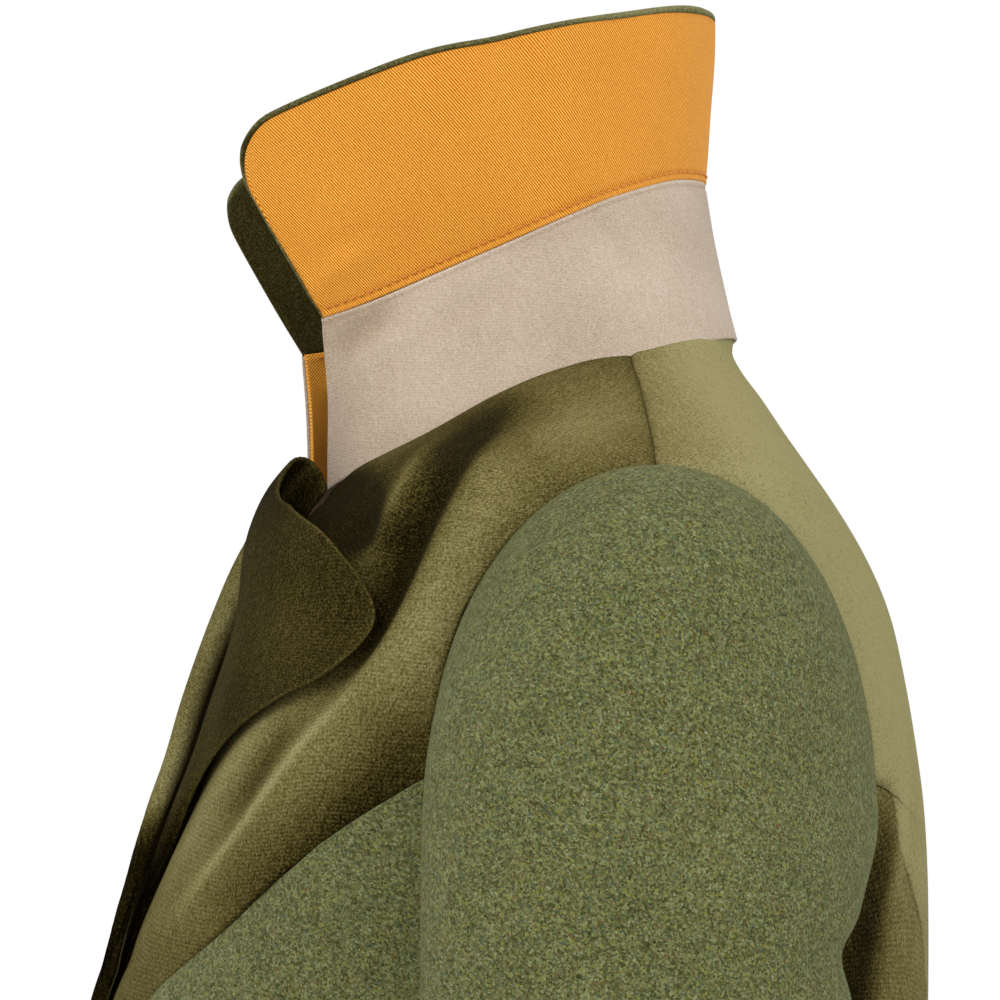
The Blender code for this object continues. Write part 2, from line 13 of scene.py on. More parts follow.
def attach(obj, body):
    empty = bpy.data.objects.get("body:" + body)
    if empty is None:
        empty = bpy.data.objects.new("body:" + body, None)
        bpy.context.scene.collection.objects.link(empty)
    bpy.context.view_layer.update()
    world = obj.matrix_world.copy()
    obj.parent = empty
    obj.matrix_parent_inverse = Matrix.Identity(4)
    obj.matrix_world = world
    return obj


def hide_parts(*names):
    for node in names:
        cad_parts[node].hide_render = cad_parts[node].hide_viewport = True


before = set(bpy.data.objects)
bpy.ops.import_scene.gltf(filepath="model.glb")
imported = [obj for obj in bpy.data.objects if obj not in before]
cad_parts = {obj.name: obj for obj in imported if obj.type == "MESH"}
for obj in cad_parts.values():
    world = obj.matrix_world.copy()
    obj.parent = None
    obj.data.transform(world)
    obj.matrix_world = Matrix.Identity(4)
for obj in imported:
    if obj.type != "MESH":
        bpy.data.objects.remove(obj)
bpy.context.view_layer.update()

# ---------------------------------------------------------------------------------------
# Back and side back: olive cotton velvet, pressed open over the curved back seam and lined.
# Each cut piece is a thin shell whose edges roll in where they are seamed to the next piece.
# ---------------------------------------------------------------------------------------
WALL = 0.0016            # velvet or tweed with its lining
GAP = 0.00014            # between two pieces at a seam
SQUARE = 0.08            # how much the body rings are squarer than ellipses
WAIST, HEM = -0.385, -0.980

RINGS = [                # height, y of front, side and back, half width
    (0.0220, -0.018, 0.007, 0.0405, 0.047),
    (0.0148, -0.022, 0.005, 0.0418, 0.056),
    (0.0055, -0.028, 0.002, 0.0410, 0.067),
    (0.0000, -0.034, 0.000, 0.0433, 0.075),
    (-0.0125, -0.053, 0.000, 0.0495, 0.103),
    (-0.0270, -0.075, 0.000, 0.0560, 0.137),
    (-0.0430, -0.103, 0.000, 0.0645, 0.172),
    (-0.0500, -0.109, 0.000, 0.0687, 0.184),
    (-0.0620, -0.115, 0.000, 0.0765, 0.191),
    (-0.0850, -0.123, 0.000, 0.0882, 0.193),
    (-0.1100, -0.131, 0.000, 0.0952, 0.193),
    (-0.1400, -0.140, 0.000, 0.1000, 0.190),
    (-0.1700, -0.1495, -0.001, 0.1025, 0.183),
    (-0.1950, -0.1620, -0.003, 0.1037, 0.175),
    (-0.2150, -0.1710, -0.005, 0.1039, 0.169),
    (-0.2450, -0.177, -0.010, 0.1030, 0.165),
    (-0.2750, -0.177, -0.013, 0.1003, 0.162),
    (-0.3100, -0.168, -0.018, 0.0945, 0.156),
    (-0.3500, -0.151, -0.022, 0.0860, 0.148),
    (-0.3850, -0.141, -0.024, 0.0820, 0.145),
    (-0.4300, -0.145, -0.022, 0.0920, 0.155),
    (-0.5000, -0.157, -0.018, 0.1130, 0.176),
    (-0.6000, -0.175, -0.014, 0.1380, 0.203),
    (-0.7800, -0.208, -0.008, 0.1800, 0.248),
    (-0.9800, -0.245, -0.004, 0.2250, 0.295),
]
NECKLINE_BACK = [(90, 0.0), (111, 0.0055), (142, 0.0110), (180, 0.0148)]
BACK_SEAM = [(135.5, -0.152), (138, -0.167), (145, -0.182), (152.5, -0.195), (157.5, -0.222),
             (160.5, -0.270), (161, -0.330), (161, WAIST)]
HOLE_Y, HOLE_Z = -0.002, -0.1486          # armhole, an oval seen from the side
HOLE_DEPTH, HOLE_RISE, HOLE_DROP = 0.0715, 0.0986, 0.066
PER_DEGREE = 0.0026                       # length along the body of one degree of turn


def smooth(knots, values, at):
    """Cubic through the values at the knots; a knot's slope comes from its neighbours."""
    knots, values = np.asarray(knots, float), np.asarray(values, float)
    at = np.clip(np.asarray(at, float), knots[0], knots[-1])
    slope = np.gradient(values, knots, axis=0)
    k = np.clip(np.searchsorted(knots, at, side="right") - 1, 0, len(knots) - 2)
    span = knots[k + 1] - knots[k]
    f = (at - knots[k]) / span
    if values.ndim > 1:
        f, span = f[..., None], span[..., None]
    rise = values[k + 1] - values[k]
    start, end = slope[k] * span, slope[k + 1] * span
    return values[k] + f * start + f * f * (3 * rise - 2 * start - end) \
        + f ** 3 * (start + end - 2 * rise)


def table(rows, at):
    """Columns of a table, read smoothly at a value of its first column."""
    rows = np.array(sorted(rows), float)
    return np.moveaxis(smooth(rows[:, 0], rows[:, 1:], at), -1, 0)


def line(rows, low=0.0, high=1.0, count=240):
    """Seam line through rows of (turn, height), between two fractions of its length."""
    rows = np.array(rows, float)
    length = np.hypot(np.diff(rows[:, 0]) * PER_DEGREE, np.diff(rows[:, 1]))
    knots = np.concatenate(([0], np.cumsum(length)))
    return smooth(knots, rows, np.linspace(low, high, count) * knots[-1])


def edge(*stretches):
    """One edge of a cut piece, as a function of a fraction of it: stretches of points, each
    with the fraction where it ends."""
    points = np.concatenate([points for points, _ in stretches])
    ends = [0.0] + [end for _, end in stretches]
    at = np.concatenate([np.linspace(ends[i], ends[i + 1], len(stretches[i][0]))
                         for i in range(len(stretches))])
    return lambda f: np.stack([np.interp(f, at, points[:, k]) for k in (0, 1)], -1)


def body(turn, height):
    """Body form: x = half width * sin, y = side - depth * cos, on a ring squared a little."""
    front, side, back, half = table(RINGS, height)
    angle = np.radians(turn)
    lean = SQUARE * np.sin(2 * angle)
    depth = np.where(np.cos(angle) > 0, side - front, back - side)
    return np.stack([half * np.sin(angle + lean), side - depth * np.cos(angle - lean),
                     height + 0 * angle], axis=-1)


def turn_at(y, height):
    """Turn of the form's point with this y and height: the inverse of body()."""
    front, side, back, _ = table(RINGS, height)
    depth = np.where(y < side, side - front, back - side)
    across = np.arccos(np.clip((side - y) / depth, -1, 1))
    angle = across
    for _ in range(40):
        angle = across + SQUARE * np.sin(2 * angle)
    return np.degrees(angle)


def armhole(around):
    """Armhole oval as (turn, height); `around` is 0 at its top, 90 at the back."""
    a = np.radians(around)
    reach = np.where(np.cos(a) > 0, HOLE_RISE, HOLE_DROP)
    height = HOLE_Z + reach * np.cos(a)
    return np.stack([turn_at(HOLE_Y + HOLE_DEPTH * np.sin(a), height), height], -1)


def hole(first, last, count=160):
    return armhole(np.linspace(first, last, count))


def unit(vector):
    return vector / np.linalg.norm(vector, axis=-1, keepdims=True)


TURN_STEP, HEIGHT_STEP = 0.05, 2e-4       # steps to each side for a tangent of the form


def outward(turn, height):
    """Unit normal of the body form, the cross product of its two tangents."""
    round_way = body(turn + TURN_STEP, height) - body(turn - TURN_STEP, height)
    up_way = body(turn, height + HEIGHT_STEP) - body(turn, height - HEIGHT_STEP)
    return unit(np.cross(round_way, up_way))


def waver(point, size, seed):
    """Gentle unevenness from -1 to 1: the mean of seven sine waves about `size` long, each
    in its own direction."""
    dice = np.random.default_rng(seed)
    total = np.zeros(point.shape[:-1])
    for _ in range(7):
        way = unit(dice.normal(size=3)) * 2 * np.pi / (size * dice.uniform(0.7, 1.6))
        total += np.sin(point @ way + dice.uniform(0, 2 * np.pi))
    return total / 4.0


FOLD_POINTS = 70         # places along a fold's curve


def fold(place, rows, height, upper, lower):
    """Rise of one soft fold: a bell across a curve through rows of points, `upper` wide on
    one flank and `lower` on the other, that fades towards both ends of the curve."""
    rows = np.array(rows, float)
    knots = np.concatenate(([0], np.cumsum(np.linalg.norm(np.diff(rows, axis=0), axis=1))))
    curve = smooth(knots, rows, np.linspace(0, knots[-1], FOLD_POINTS))
    tangent = unit(np.gradient(curve, axis=0))
    away = place[..., None, :] - curve
    near = np.argmin((away ** 2).sum(-1), axis=-1)
    away = np.take_along_axis(away, near[..., None, None], -2)[..., 0, :]
    tangent = tangent[near]
    side = tangent[..., 0] * away[..., 1] - tangent[..., 1] * away[..., 0]
    distance = np.linalg.norm(away, axis=-1) / np.where(side > 0, upper, lower)
    fade = np.clip(1 - np.abs(near / ((FOLD_POINTS - 1) / 2) - 1) ** 2.6, 0, 1)
    return height * fade * np.exp(-distance ** 2.0)


def folds_in(place, rows):
    """Sum of the folds of a table, each row being one fold."""
    return sum(fold(place, *row) for row in rows)


def spread(*runs):
    """Fractions across a piece: each run is the fraction where it ends and its steps, with
    four closer rows inside each outer edge for the roll of the seam."""
    ends = [0.0] + [end for end, _ in runs]
    rows = [np.linspace(ends[i], ends[i + 1], steps + 1)[1:]
            for i, (_, steps) in enumerate(runs)]
    rows = np.concatenate([[0.0]] + rows)
    close = np.array([0.14, 0.34, 0.6])
    return np.sort(np.concatenate([rows, rows[1] * close, 1 - (1 - rows[-2]) * close]))


def coons(bottom, top, start, end, across, up):
    """Grid between four edges that meet at their corners: the two ruled grids between
    opposite edges, less the flat one between the corners."""
    if across.ndim == 1:
        across, up = np.meshgrid(across, up)
    u, v = across[..., None], up[..., None]
    flat = (1 - v) * ((1 - u) * bottom(0.0) + u * bottom(1.0)) \
        + v * ((1 - u) * top(0.0) + u * top(1.0))
    return (1 - v) * bottom(across) + v * top(across) + (1 - u) * start(up) + u * end(up) - flat


def from_edges(face):
    """Distance along the cloth from each of the four edges of a grid of points."""
    run = np.linalg.norm(np.diff(face, axis=1), axis=-1)
    run = np.pad(np.cumsum(run, axis=1), ((0, 0), (1, 0)))
    climb = np.linalg.norm(np.diff(face, axis=0), axis=-1)
    climb = np.pad(np.cumsum(climb, axis=0), ((1, 0), (0, 0)))
    return np.stack([climb, climb[-1:] - climb, run, run[:, -1:] - run])


def trim(grid, gap):
    """Pull the four edges of a grid of points in by half the seam gap."""
    grid = grid.copy()
    for rim, inside in ((0, 1), (-1, -2)):
        grid[rim] += unit(grid[inside] - grid[rim]) * gap / 2
        grid[:, rim] += unit(grid[:, inside] - grid[:, rim]) * gap / 2
    return grid


SIDES = ("bottom", "top", "start", "end")     # edges of a cut piece
EDGE_ROLL, ROLL_SHARE = 0.0009, 0.36      # width of a rolled edge, part of the wall it takes
DITCH, DITCH_WIDE = 0.0005, 0.0016        # depth and width of the line of a seam
DRAWN, DRAWN_WIDE = 0.0003, 0.0075        # and of the cloth drawn in beside it
PUCKER, PUCKER_LONG = 0.00022, 0.013      # height and length of its puckers


def rolled(face, seed, free=()):
    """Offsets of the outer and the inner face at a cloth edge: a quarter round at the rim,
    a soft ditch and small uneven puckers where the edge is seamed and not `free`."""
    away = from_edges(face)
    near = np.clip(away.min(0) / EDGE_ROLL, 0, 1)
    rim = ROLL_SHARE * WALL * (1 - np.sqrt(1 - (1 - near) ** 2))
    seamed = np.array([0.0 if side in free else 1.0 for side in SIDES])
    seam = (seamed[:, None, None] * np.exp(-(away / DITCH_WIDE) ** 2)).max(0)
    broad = (seamed[:, None, None] * np.exp(-(away / DRAWN_WIDE) ** 2)).max(0)
    gather = PUCKER * broad * waver(face, PUCKER_LONG, seed) - DITCH * seam - DRAWN * broad
    return gather - rim, gather + rim


def node(tree, kind, sockets=(), **settings):
    """Shader node with its settings; each socket takes a value or another node's output."""
    made = tree.nodes.new("ShaderNode" + kind)
    for key, value in settings.items():
        setattr(made, key, value)
    for key, value in dict(sockets).items():
        if isinstance(value, bpy.types.NodeSocket):
            tree.links.new(value, made.inputs[key])
        else:
            made.inputs[key].default_value = value
    return made


def noise(tree, where, scale, detail=2.0, rough=0.5):
    """Noise from -1 to 1 about 0, in features 1 / scale long."""
    made = node(tree, "TexNoise", {"Vector": where, "Scale": scale, "Detail": detail,
                                   "Roughness": rough})
    return node(tree, "MapRange", {"Value": made.outputs["Fac"], "From Min": 0.25,
                                   "From Max": 0.75, "To Min": -1.0, "To Max": 1.0},
                clamp=False).outputs[0]


def total(tree, *terms):
    """Sum of (output, weight) terms."""
    out = None
    for value, weight in terms:
        sockets = {0: value, 1: weight, 2: 0.0 if out is None else out}
        out = node(tree, "Math", sockets, operation="MULTIPLY_ADD").outputs[0]
    return out


def ramp(tree, value, stops):
    """Colour along stops of (place, colour)."""
    made = node(tree, "ValToRGB", {"Fac": value})
    band = made.color_ramp.elements
    while len(band) < len(stops):
        band.new(0.5)
    for element, (place, colour) in zip(band, stops):
        element.position, element.color = place, (*colour, 1)
    return made.outputs["Color"]


def surface(name, roughness, specular, **sockets):
    """New material, its tree and its shader, with the constants on the shader itself."""
    made = bpy.data.materials.new(name)
    made.use_nodes = True
    shader = made.node_tree.nodes["Principled BSDF"]
    shader.inputs["Roughness"].default_value = roughness
    shader.inputs["Specular IOR Level"].default_value = specular
    for key, value in sockets.items():
        shader.inputs[key.replace("_", " ")].default_value = value
    return made, made.node_tree, shader


def attribute(tree, name):
    return node(tree, "Attribute", attribute_name=name).outputs["Fac"]


def colour_by(tree, shader, value, stops):
    """Colours the shader along stops, by a value."""
    tree.links.new(ramp(tree, value, stops), shader.inputs["Base Color"])


def raise_by(tree, shader, height, distance, strength):
    """Bumps the shader's surface by a height."""
    bump = node(tree, "Bump", {"Height": height, "Distance": distance, "Strength": strength})
    tree.links.new(bump.outputs[0], shader.inputs["Normal"])


def linked(name, data):
    """New object in the scene, for a mesh, a lamp or a camera."""
    made = bpy.data.objects.new(name, data)
    bpy.context.scene.collection.objects.link(made)
    return made


def facing(turn, place):
    """World matrix from a turn's three columns and a place."""
    return Matrix([[*turn[k], place[k]] for k in range(3)] + [[0, 0, 0, 1]])


PILE_ANGLE = -1.05       # slant of the rows of pile across the cloth


def pile(name, stops, tint, sheen, sheen_rough, grain=1.0, pitch=0.0013):
    """Velvet: short pile whose tone follows the painted light and shade stored on the piece,
    tufted in slanting rows, with cloudy mottling, and a sheen off the sides of the pile."""
    made, tree, shader = surface(name, 0.95, 0.02, Sheen_Weight=sheen, Sheen_Tint=tint,
                                 Sheen_Roughness=sheen_rough)
    where = node(tree, "TexCoord").outputs["Object"]
    along = node(tree, "UVMap", uv_map="cloth").outputs[0]
    nap_and_painted_light = node(tree, "Mapping", {"Vector": along, "Scale": (1.0, 0.22, 1.0)}).outputs[0]
    slant = node(tree, "Mapping", {"Vector": along, "Rotation": (0, 0, PILE_ANGLE)}).outputs[0]
    fine = noise(tree, where, 1200, 2.0, 0.8)
    streak = noise(tree, nap_and_painted_light, 520, 2.0)
    row = node(tree, "TexWave", {"Vector": slant, "Scale": 0.314 / pitch, "Distortion": 1.2,
                                 "Detail": 2.0, "Detail Scale": 4.0},
               bands_direction="X").outputs["Fac"]
    cloud = noise(tree, where, 30, 3.0)
    tone = total(tree, (attribute(tree, "painted_shading"), 1.0), (cloud, 0.045 * grain),
                 (streak, 0.060 * grain), (row, 0.085 * grain), (fine, 0.330 * grain))
    colour_by(tree, shader, tone, stops)
    raise_by(tree, shader, total(tree, (fine, 0.7), (row, 0.25)), 0.0004, 0.70)
    return made


def satin_lining(name, colour, tint):
    """Lining: thin satin, smooth, with fine ribs across it."""
    made, tree, shader = surface(name, 0.42, 0.5, Sheen_Weight=0.2, Sheen_Tint=tint)
    where = node(tree, "TexCoord").outputs["Object"]
    cloud = noise(tree, where, 28, 3.0)
    ribs = node(tree, "TexWave", {"Vector": where, "Scale": 520.0, "Distortion": 0.6,
                                  "Detail": 1.0}, bands_direction="Z").outputs["Fac"]
    dark = tuple(0.72 * c for c in colour)
    tone = total(tree, (cloud, 0.25), (ribs, 0.3))
    colour_by(tree, shader, tone, [(0.0, dark), (0.6, colour)])
    raise_by(tree, shader, ribs, 0.0001, 0.3)
    return made


def shell(name, outer, inner, finishes, painted_shading=0.35, flip=False, laid=None):
    """Closed mesh between two grids of points, joined round the rim. Its UV map is in metres
    along the rows and columns, or as `laid`; its painted light and shade is stored as a point
    attribute."""
    rows, columns = outer.shape[:2]
    index = np.arange(rows * columns).reshape(rows, columns)
    under = index + rows * columns
    rim = np.concatenate([index[0, :-1], index[:-1, -1], index[-1, :0:-1], index[:0:-1, 0]])
    after = np.roll(rim, -1)
    faces = np.stack([index[:-1, :-1], index[:-1, 1:], index[1:, 1:], index[1:, :-1]], -1)
    back = np.stack([under[:-1, :-1], under[1:, :-1], under[1:, 1:], under[:-1, 1:]], -1)
    band = np.stack([rim, rim + rows * columns, after + rows * columns, after], -1)
    faces = np.concatenate([faces.reshape(-1, 4), back.reshape(-1, 4), band])
    if flip:
        faces = faces[:, ::-1]
    mesh = bpy.data.meshes.new(name)
    points = np.concatenate([outer.reshape(-1, 3), inner.reshape(-1, 3)])
    mesh.from_pydata(points.tolist(), [], faces.tolist())
    cells = (rows - 1) * (columns - 1)
    lined = np.zeros(len(faces), np.int32)
    lined[cells:2 * cells] = len(finishes) - 1
    for finish in finishes:
        mesh.materials.append(finish)
    mesh.polygons.foreach_set("material_index", lined)
    mesh.shade_smooth()
    if laid is None:
        away = from_edges(outer)
        middle = columns // 2
        u = away[2] - away[2][:, middle:middle + 1]
        laid = np.stack([u, np.broadcast_to(away[0][:, middle:middle + 1], u.shape)], -1)
    flat = np.tile(laid.reshape(-1, 2), (2, 1)).astype(np.float32)
    corners = np.zeros(len(mesh.loops), np.int32)
    mesh.loops.foreach_get("vertex_index", corners)
    mesh.uv_layers.new(name="cloth").data.foreach_set("uv", flat[corners].ravel())
    tone = np.tile(np.broadcast_to(painted_shading, (rows, columns)).ravel(), 2).astype(np.float32)
    # Point attribute of painted light and shade, read by the materials' colour ramps.
    mesh.attributes.new("painted_shading", "FLOAT", "POINT").data.foreach_set("value", tone)
    return linked(name, mesh)


def sewn(piece, cad_node):
    """Fixes a cut piece on the coat, in place of its CAD node."""
    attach(piece, "root")
    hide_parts(cad_node)


# Olive velvet colours from deep painted shade to painted light, picked by each piece's painted
# light and shade.
OLIVE = [(0.0, (0.006, 0.005, 0.0010)), (0.2, (0.026, 0.019, 0.0040)),
         (0.4, (0.071, 0.056, 0.0140)), (0.6, (0.140, 0.116, 0.0370)),
         (0.8, (0.230, 0.202, 0.0800)), (1.0, (0.345, 0.312, 0.1450))]
olive_velvet = pile("olive_velvet", OLIVE, (0.86, 0.78, 0.36, 1), 0.035, 0.30)
olive_lining = satin_lining("olive_lining", (0.075, 0.062, 0.022), (0.6, 0.55, 0.3, 1))


def cloth(turn, height, out, side, rise=0.0):
    """Point of one side of the coat, `out` and the rise of its folds off the form."""
    turn, height = np.broadcast_arrays(np.asarray(turn, float), np.asarray(height, float))
    moved = body(turn, height) + outward(turn, height) * np.asarray(out + rise)[..., None]
    return moved * (side, 1, 1)


def no_lift(turn, height, side):
    return 0.0


def no_shade(point, turn, side):
    return 0.0


def panel(name, cut, side, folds, finishes, seed, free=(),
          painted_shading=0.35, lift=no_lift, shade=no_shade, lean=40):
    """Cut piece on the form: `cut` is its grid of (turn, height), `folds` the rise of its
    folds there, `lift` how far it stands off the form as a whole, and `shade` the painted
    light and shade laid over it. Painted light on a fold's ridge and painted shade in its trough,
    by `lean`."""
    turn, height = cut[..., 0], cut[..., 1]
    base = body(turn, height)
    rise = folds(base, turn, side) + 0.0006 * waver(base * (side, 1, 1), 0.085, seed)
    over, under = rolled(base, seed, free)
    stand = rise + lift(turn, height, side)
    outer = trim(cloth(turn, height, over, side, stand), GAP)
    inner = trim(cloth(turn, height, under - WALL, side, stand), GAP)
    seam = np.exp(-(from_edges(base).min(0) / DITCH_WIDE) ** 2)
    # Tone: a base level of painted light, painted light on fold ridges and painted shade in troughs
    # by `lean`, painted shade along the seams, and the piece's own painted light and shade.
    tone = painted_shading + lean * rise - 0.12 * seam + shade(base, turn, side)
    piece = shell(name, outer, inner, finishes, np.clip(tone, 0.02, 1), flip=side < 0)
    sewn(piece, name.split("_", 1)[1])
    return piece


BACK_FOLDS = [           # points (y, z), height, width on each flank
    ([(0.055, -0.115), (0.072, -0.150), (0.085, -0.200)], 0.0012, 0.010, 0.012),
    ([(0.030, -0.330), (0.060, -0.350), (0.088, -0.352)], -0.0016, 0.008, 0.010),
    ([(0.020, -0.300), (0.058, -0.318), (0.090, -0.322)], 0.0014, 0.009, 0.007),
]
# Painted light and shade of the backs: painted shade in the lee of the arm, a painted highlight on
# a ridge beside it.
BACK_LIGHT_AND_SHADE = [           # points (y, z), tone, width on each flank
    ([(0.074, -0.142), (0.074, -0.158), (0.072, -0.180), (0.066, -0.212), (0.060, -0.262)],
     -0.62, 0.0070, 0.0120),
    ([(0.082, -0.126), (0.083, -0.145), (0.082, -0.168), (0.078, -0.184), (0.074, -0.200)],
     0.16, 0.0030, 0.0030),
]


def back_folds(point, turn, side):
    """Backs: a drag line from the arm to the blade, and a hollow along the waist."""
    return folds_in(point[..., 1:], BACK_FOLDS)


def back_shade(point, turn, side):
    """Backs: painted light over the shoulder blade, and painted shade in the lee of the arm with a
    painted highlight on a ridge beside it, weaker on the right back.
    """
    blade = 0.30 * np.clip((turn - 92) / 26, 0, 1) * np.clip((0.25 + point[..., 2]) / 0.16, 0, 1)
    shading_share = 1.0 if side > 0 else 0.4
    return blade + shading_share * folds_in(point[..., 1:], BACK_LIGHT_AND_SHADE)


for side, hand in ((1, "left"), (-1, "right")):
    seam = line([tuple(armhole(90.0))] + BACK_SEAM)[::-1]
    shoulder = line([(90, 0.0), tuple(armhole(0.0))])
    pit = armhole(180.0)
    side_seam = np.stack([np.full(90, 90.0), np.linspace(WAIST, pit[1], 90)], -1)

    waist = edge((np.array([(90, WAIST), (seam[0, 0], WAIST)]), 1.0))
    cut = coons(waist, edge((hole(180, 90), 1.0)), edge((side_seam, 1.0)), edge((seam, 1.0)),
                spread((1.0, 46)), spread((1.0, 84)))
    # Base levels of painted light: the back is painted lighter than the side back.
    panel("velvet_side_back_" + hand, cut, side, back_folds, [olive_velvet, olive_lining],
          11 + side, painted_shading=0.52, shade=back_shade)

    waist = edge((np.array([(seam[0, 0], WAIST), (180, WAIST)]), 1.0))
    start = edge((seam, 0.5), (hole(90, 0), 0.8), (shoulder[::-1], 1.0))
    centre = [(180, WAIST), NECKLINE_BACK[-1]]
    end = edge((line(centre, 0, 0.525), 0.5), (line(centre, 0.525, 0.885), 0.8),
               (line(centre, 0.885, 1.0), 1.0))
    cut = coons(waist, edge((line(NECKLINE_BACK), 1.0)), start, end,
                spread((1.0, 44)), spread((0.5, 50), (0.8, 34), (1.0, 22)))
    panel("velvet_back_" + hand, cut, side, back_folds, [olive_velvet, olive_lining],
          15 + side, free=("top",), painted_shading=0.74,
          shade=back_shade)

# ---------------------------------------------------------------------------------------
# Upper fronts: the same velvet, cut from the roll line to the armhole down to the curved
# style line. Soft folds run from the shoulder down towards the lapel and the lap.
# ---------------------------------------------------------------------------------------
NECKLINE_FRONT = [(15, -0.043), (25, -0.0365), (29.5, -0.029), (36, -0.021),
                  (48, -0.0125), (63, -0.0055), (90, 0.0)]
ROLL_LINE = [(15, -0.043), (10, -0.080), (6, -0.118), (2.5, -0.148), (-3.5, -0.200),
             (-10.7, -0.270)]
STYLE_LINE = [(-10.7, -0.270), (7, -0.246), (25, -0.2145), (36, -0.196), (47.5, -0.171)]
FRONT_FOLDS = [          # points (y, z) seen from the side, height, width below and above
    ([(-0.050, -0.033), (-0.059, -0.051), (-0.069, -0.073), (-0.077, -0.093),
      (-0.086, -0.110), (-0.094, -0.121), (-0.104, -0.132), (-0.113, -0.143),
      (-0.126, -0.161), (-0.141, -0.180), (-0.154, -0.196)], 0.0056, 0.0150, 0.0052),
    ([(-0.044, -0.024), (-0.058, -0.040), (-0.071, -0.063), (-0.081, -0.086),
      (-0.091, -0.106), (-0.102, -0.121)], -0.0034, 0.0050, 0.0070),
    ([(-0.066, -0.034), (-0.072, -0.042), (-0.078, -0.052), (-0.085, -0.065),
      (-0.093, -0.080)], 0.0030, 0.0060, 0.0045),
    ([(-0.106, -0.116), (-0.123, -0.132), (-0.133, -0.146), (-0.142, -0.162),
      (-0.152, -0.182), (-0.163, -0.202)], 0.0042, 0.0085, 0.0058),
    ([(-0.118, -0.136), (-0.128, -0.150), (-0.140, -0.170)], -0.0018, 0.0050, 0.0050),
    ([(-0.020, -0.012), (-0.040, -0.022), (-0.056, -0.036)], 0.0012, 0.0050, 0.0060),
    ([(-0.028, -0.045), (-0.046, -0.078), (-0.060, -0.110), (-0.070, -0.134)],
     -0.0012, 0.0090, 0.0080),
    ([(-0.074, -0.134), (-0.090, -0.155), (-0.113, -0.178)], -0.0016, 0.0090, 0.0090),
]
HOLLOW = ([(-0.100, -0.040), (-0.098, -0.050), (-0.097, -0.060), (-0.096, -0.075)],
          -0.0060, 0.0080, 0.0100)      # of the front, under the top of the lapel
# Painted light and shade of the fronts: painted shade in the hollow and the valleys, painted
# highlights along the fold crests and on the shoulder.
FRONT_LIGHT_AND_SHADE = [          # points (y, z), tone, width below and above
    ([(-0.031, -0.034), (-0.047, -0.053), (-0.063, -0.082), (-0.074, -0.108),
      (-0.084, -0.130)], 0.14, 0.0150, 0.0090),
    ([(0.004, -0.020), (-0.011, -0.025), (-0.027, -0.034), (-0.040, -0.045)],
     0.24, 0.0160, 0.0110),
    ([(-0.104, -0.034), (-0.100, -0.046), (-0.097, -0.060), (-0.093, -0.078)],
     -0.75, 0.0110, 0.0180),
    ([(-0.036, -0.018), (-0.046, -0.026), (-0.060, -0.042), (-0.073, -0.064),
      (-0.083, -0.087), (-0.093, -0.106), (-0.104, -0.122)], -0.40, 0.0042, 0.0095),
    ([(-0.030, -0.020), (-0.046, -0.028), (-0.062, -0.036), (-0.080, -0.046),
      (-0.092, -0.056)], -0.22, 0.0080, 0.0080),
    ([(-0.070, -0.128), (-0.088, -0.155), (-0.114, -0.177), (-0.136, -0.198)],
     -0.30, 0.0170, 0.0130),
    ([(-0.090, -0.118), (-0.104, -0.132), (-0.113, -0.143), (-0.126, -0.161),
      (-0.141, -0.180), (-0.152, -0.194)], 0.30, 0.0014, 0.0016),
    ([(-0.110, -0.121), (-0.123, -0.132), (-0.133, -0.146), (-0.142, -0.162),
      (-0.152, -0.182)], 0.16, 0.0045, 0.0035),
    ([(-0.112, -0.128), (-0.122, -0.142), (-0.132, -0.158)], -0.20, 0.0040, 0.0040),
    ([(-0.060, -0.052), (-0.072, -0.072), (-0.083, -0.096), (-0.094, -0.114)],
     -0.14, 0.0060, 0.0060),
    ([(-0.060, -0.028), (-0.072, -0.042), (-0.078, -0.052), (-0.085, -0.065),
      (-0.093, -0.082)], 0.20, 0.0016, 0.0026),
]
LAP = [                  # height, how far the right front stands off the left one
    (-0.98, 0.0028), (-0.40, 0.0028), (-0.33, 0.0030), (-0.27, 0.0042), (-0.215, 0.0044),
    (-0.200, 0.0052), (-0.185, 0.0064), (-0.168, 0.0084), (-0.130, 0.0096), (-0.090, 0.0085),
    (-0.050, 0.0030), (-0.020, 0.0),
]
LAP_FULL, LAP_END = 13, 40   # degrees of turn where that starts to fade, and ends


def lap(turn, height, side):
    """Extra height of the right front where it lies on the left one."""
    fade = np.clip((LAP_END - turn) / (LAP_END - LAP_FULL), 0, 1)
    return 0.0 if side > 0 else table(LAP, height)[0] * fade * fade * (3 - 2 * fade)


def front_folds(point, turn, side):
    """Fronts: the listed folds, a little longer and softer on the right side."""
    place = point[..., 1:] + (0.0 if side > 0 else 0.004)
    ease = 1.0 if side > 0 else 0.85
    return sum(ease * fold(place, *row) for row in FRONT_FOLDS)


def hollowed_folds(point, turn, side):
    """Front folds with the deep hollow that the lapel's top stands over."""
    deep = 1.0 if side > 0 else 0.5
    return front_folds(point, turn, side) + deep * fold(point[..., 1:], *HOLLOW)


def front_shade(point, turn, side):
    """Fronts: painted shade in the valleys and in the hollow under the lapel's top, painted light
    on the shoulder and on the fold crests, and on the right front a painted light strip at its
    edge, where it lies on the left one, with painted shade below it."""
    low = np.clip((-0.160 - point[..., 2]) / 0.020, 0, 1)
    # Painted light strip along the right front's edge, turning to painted shade below.
    edge_light_and_shade = (0.40 - 0.75 * low) * np.exp(-(np.clip(turn + 8, 0, 90) / 16) ** 2)
    nap_and_painted_light = folds_in(point[..., 1:], FRONT_LIGHT_AND_SHADE)
    return nap_and_painted_light if side > 0 else edge_light_and_shade + 0.6 * nap_and_painted_light


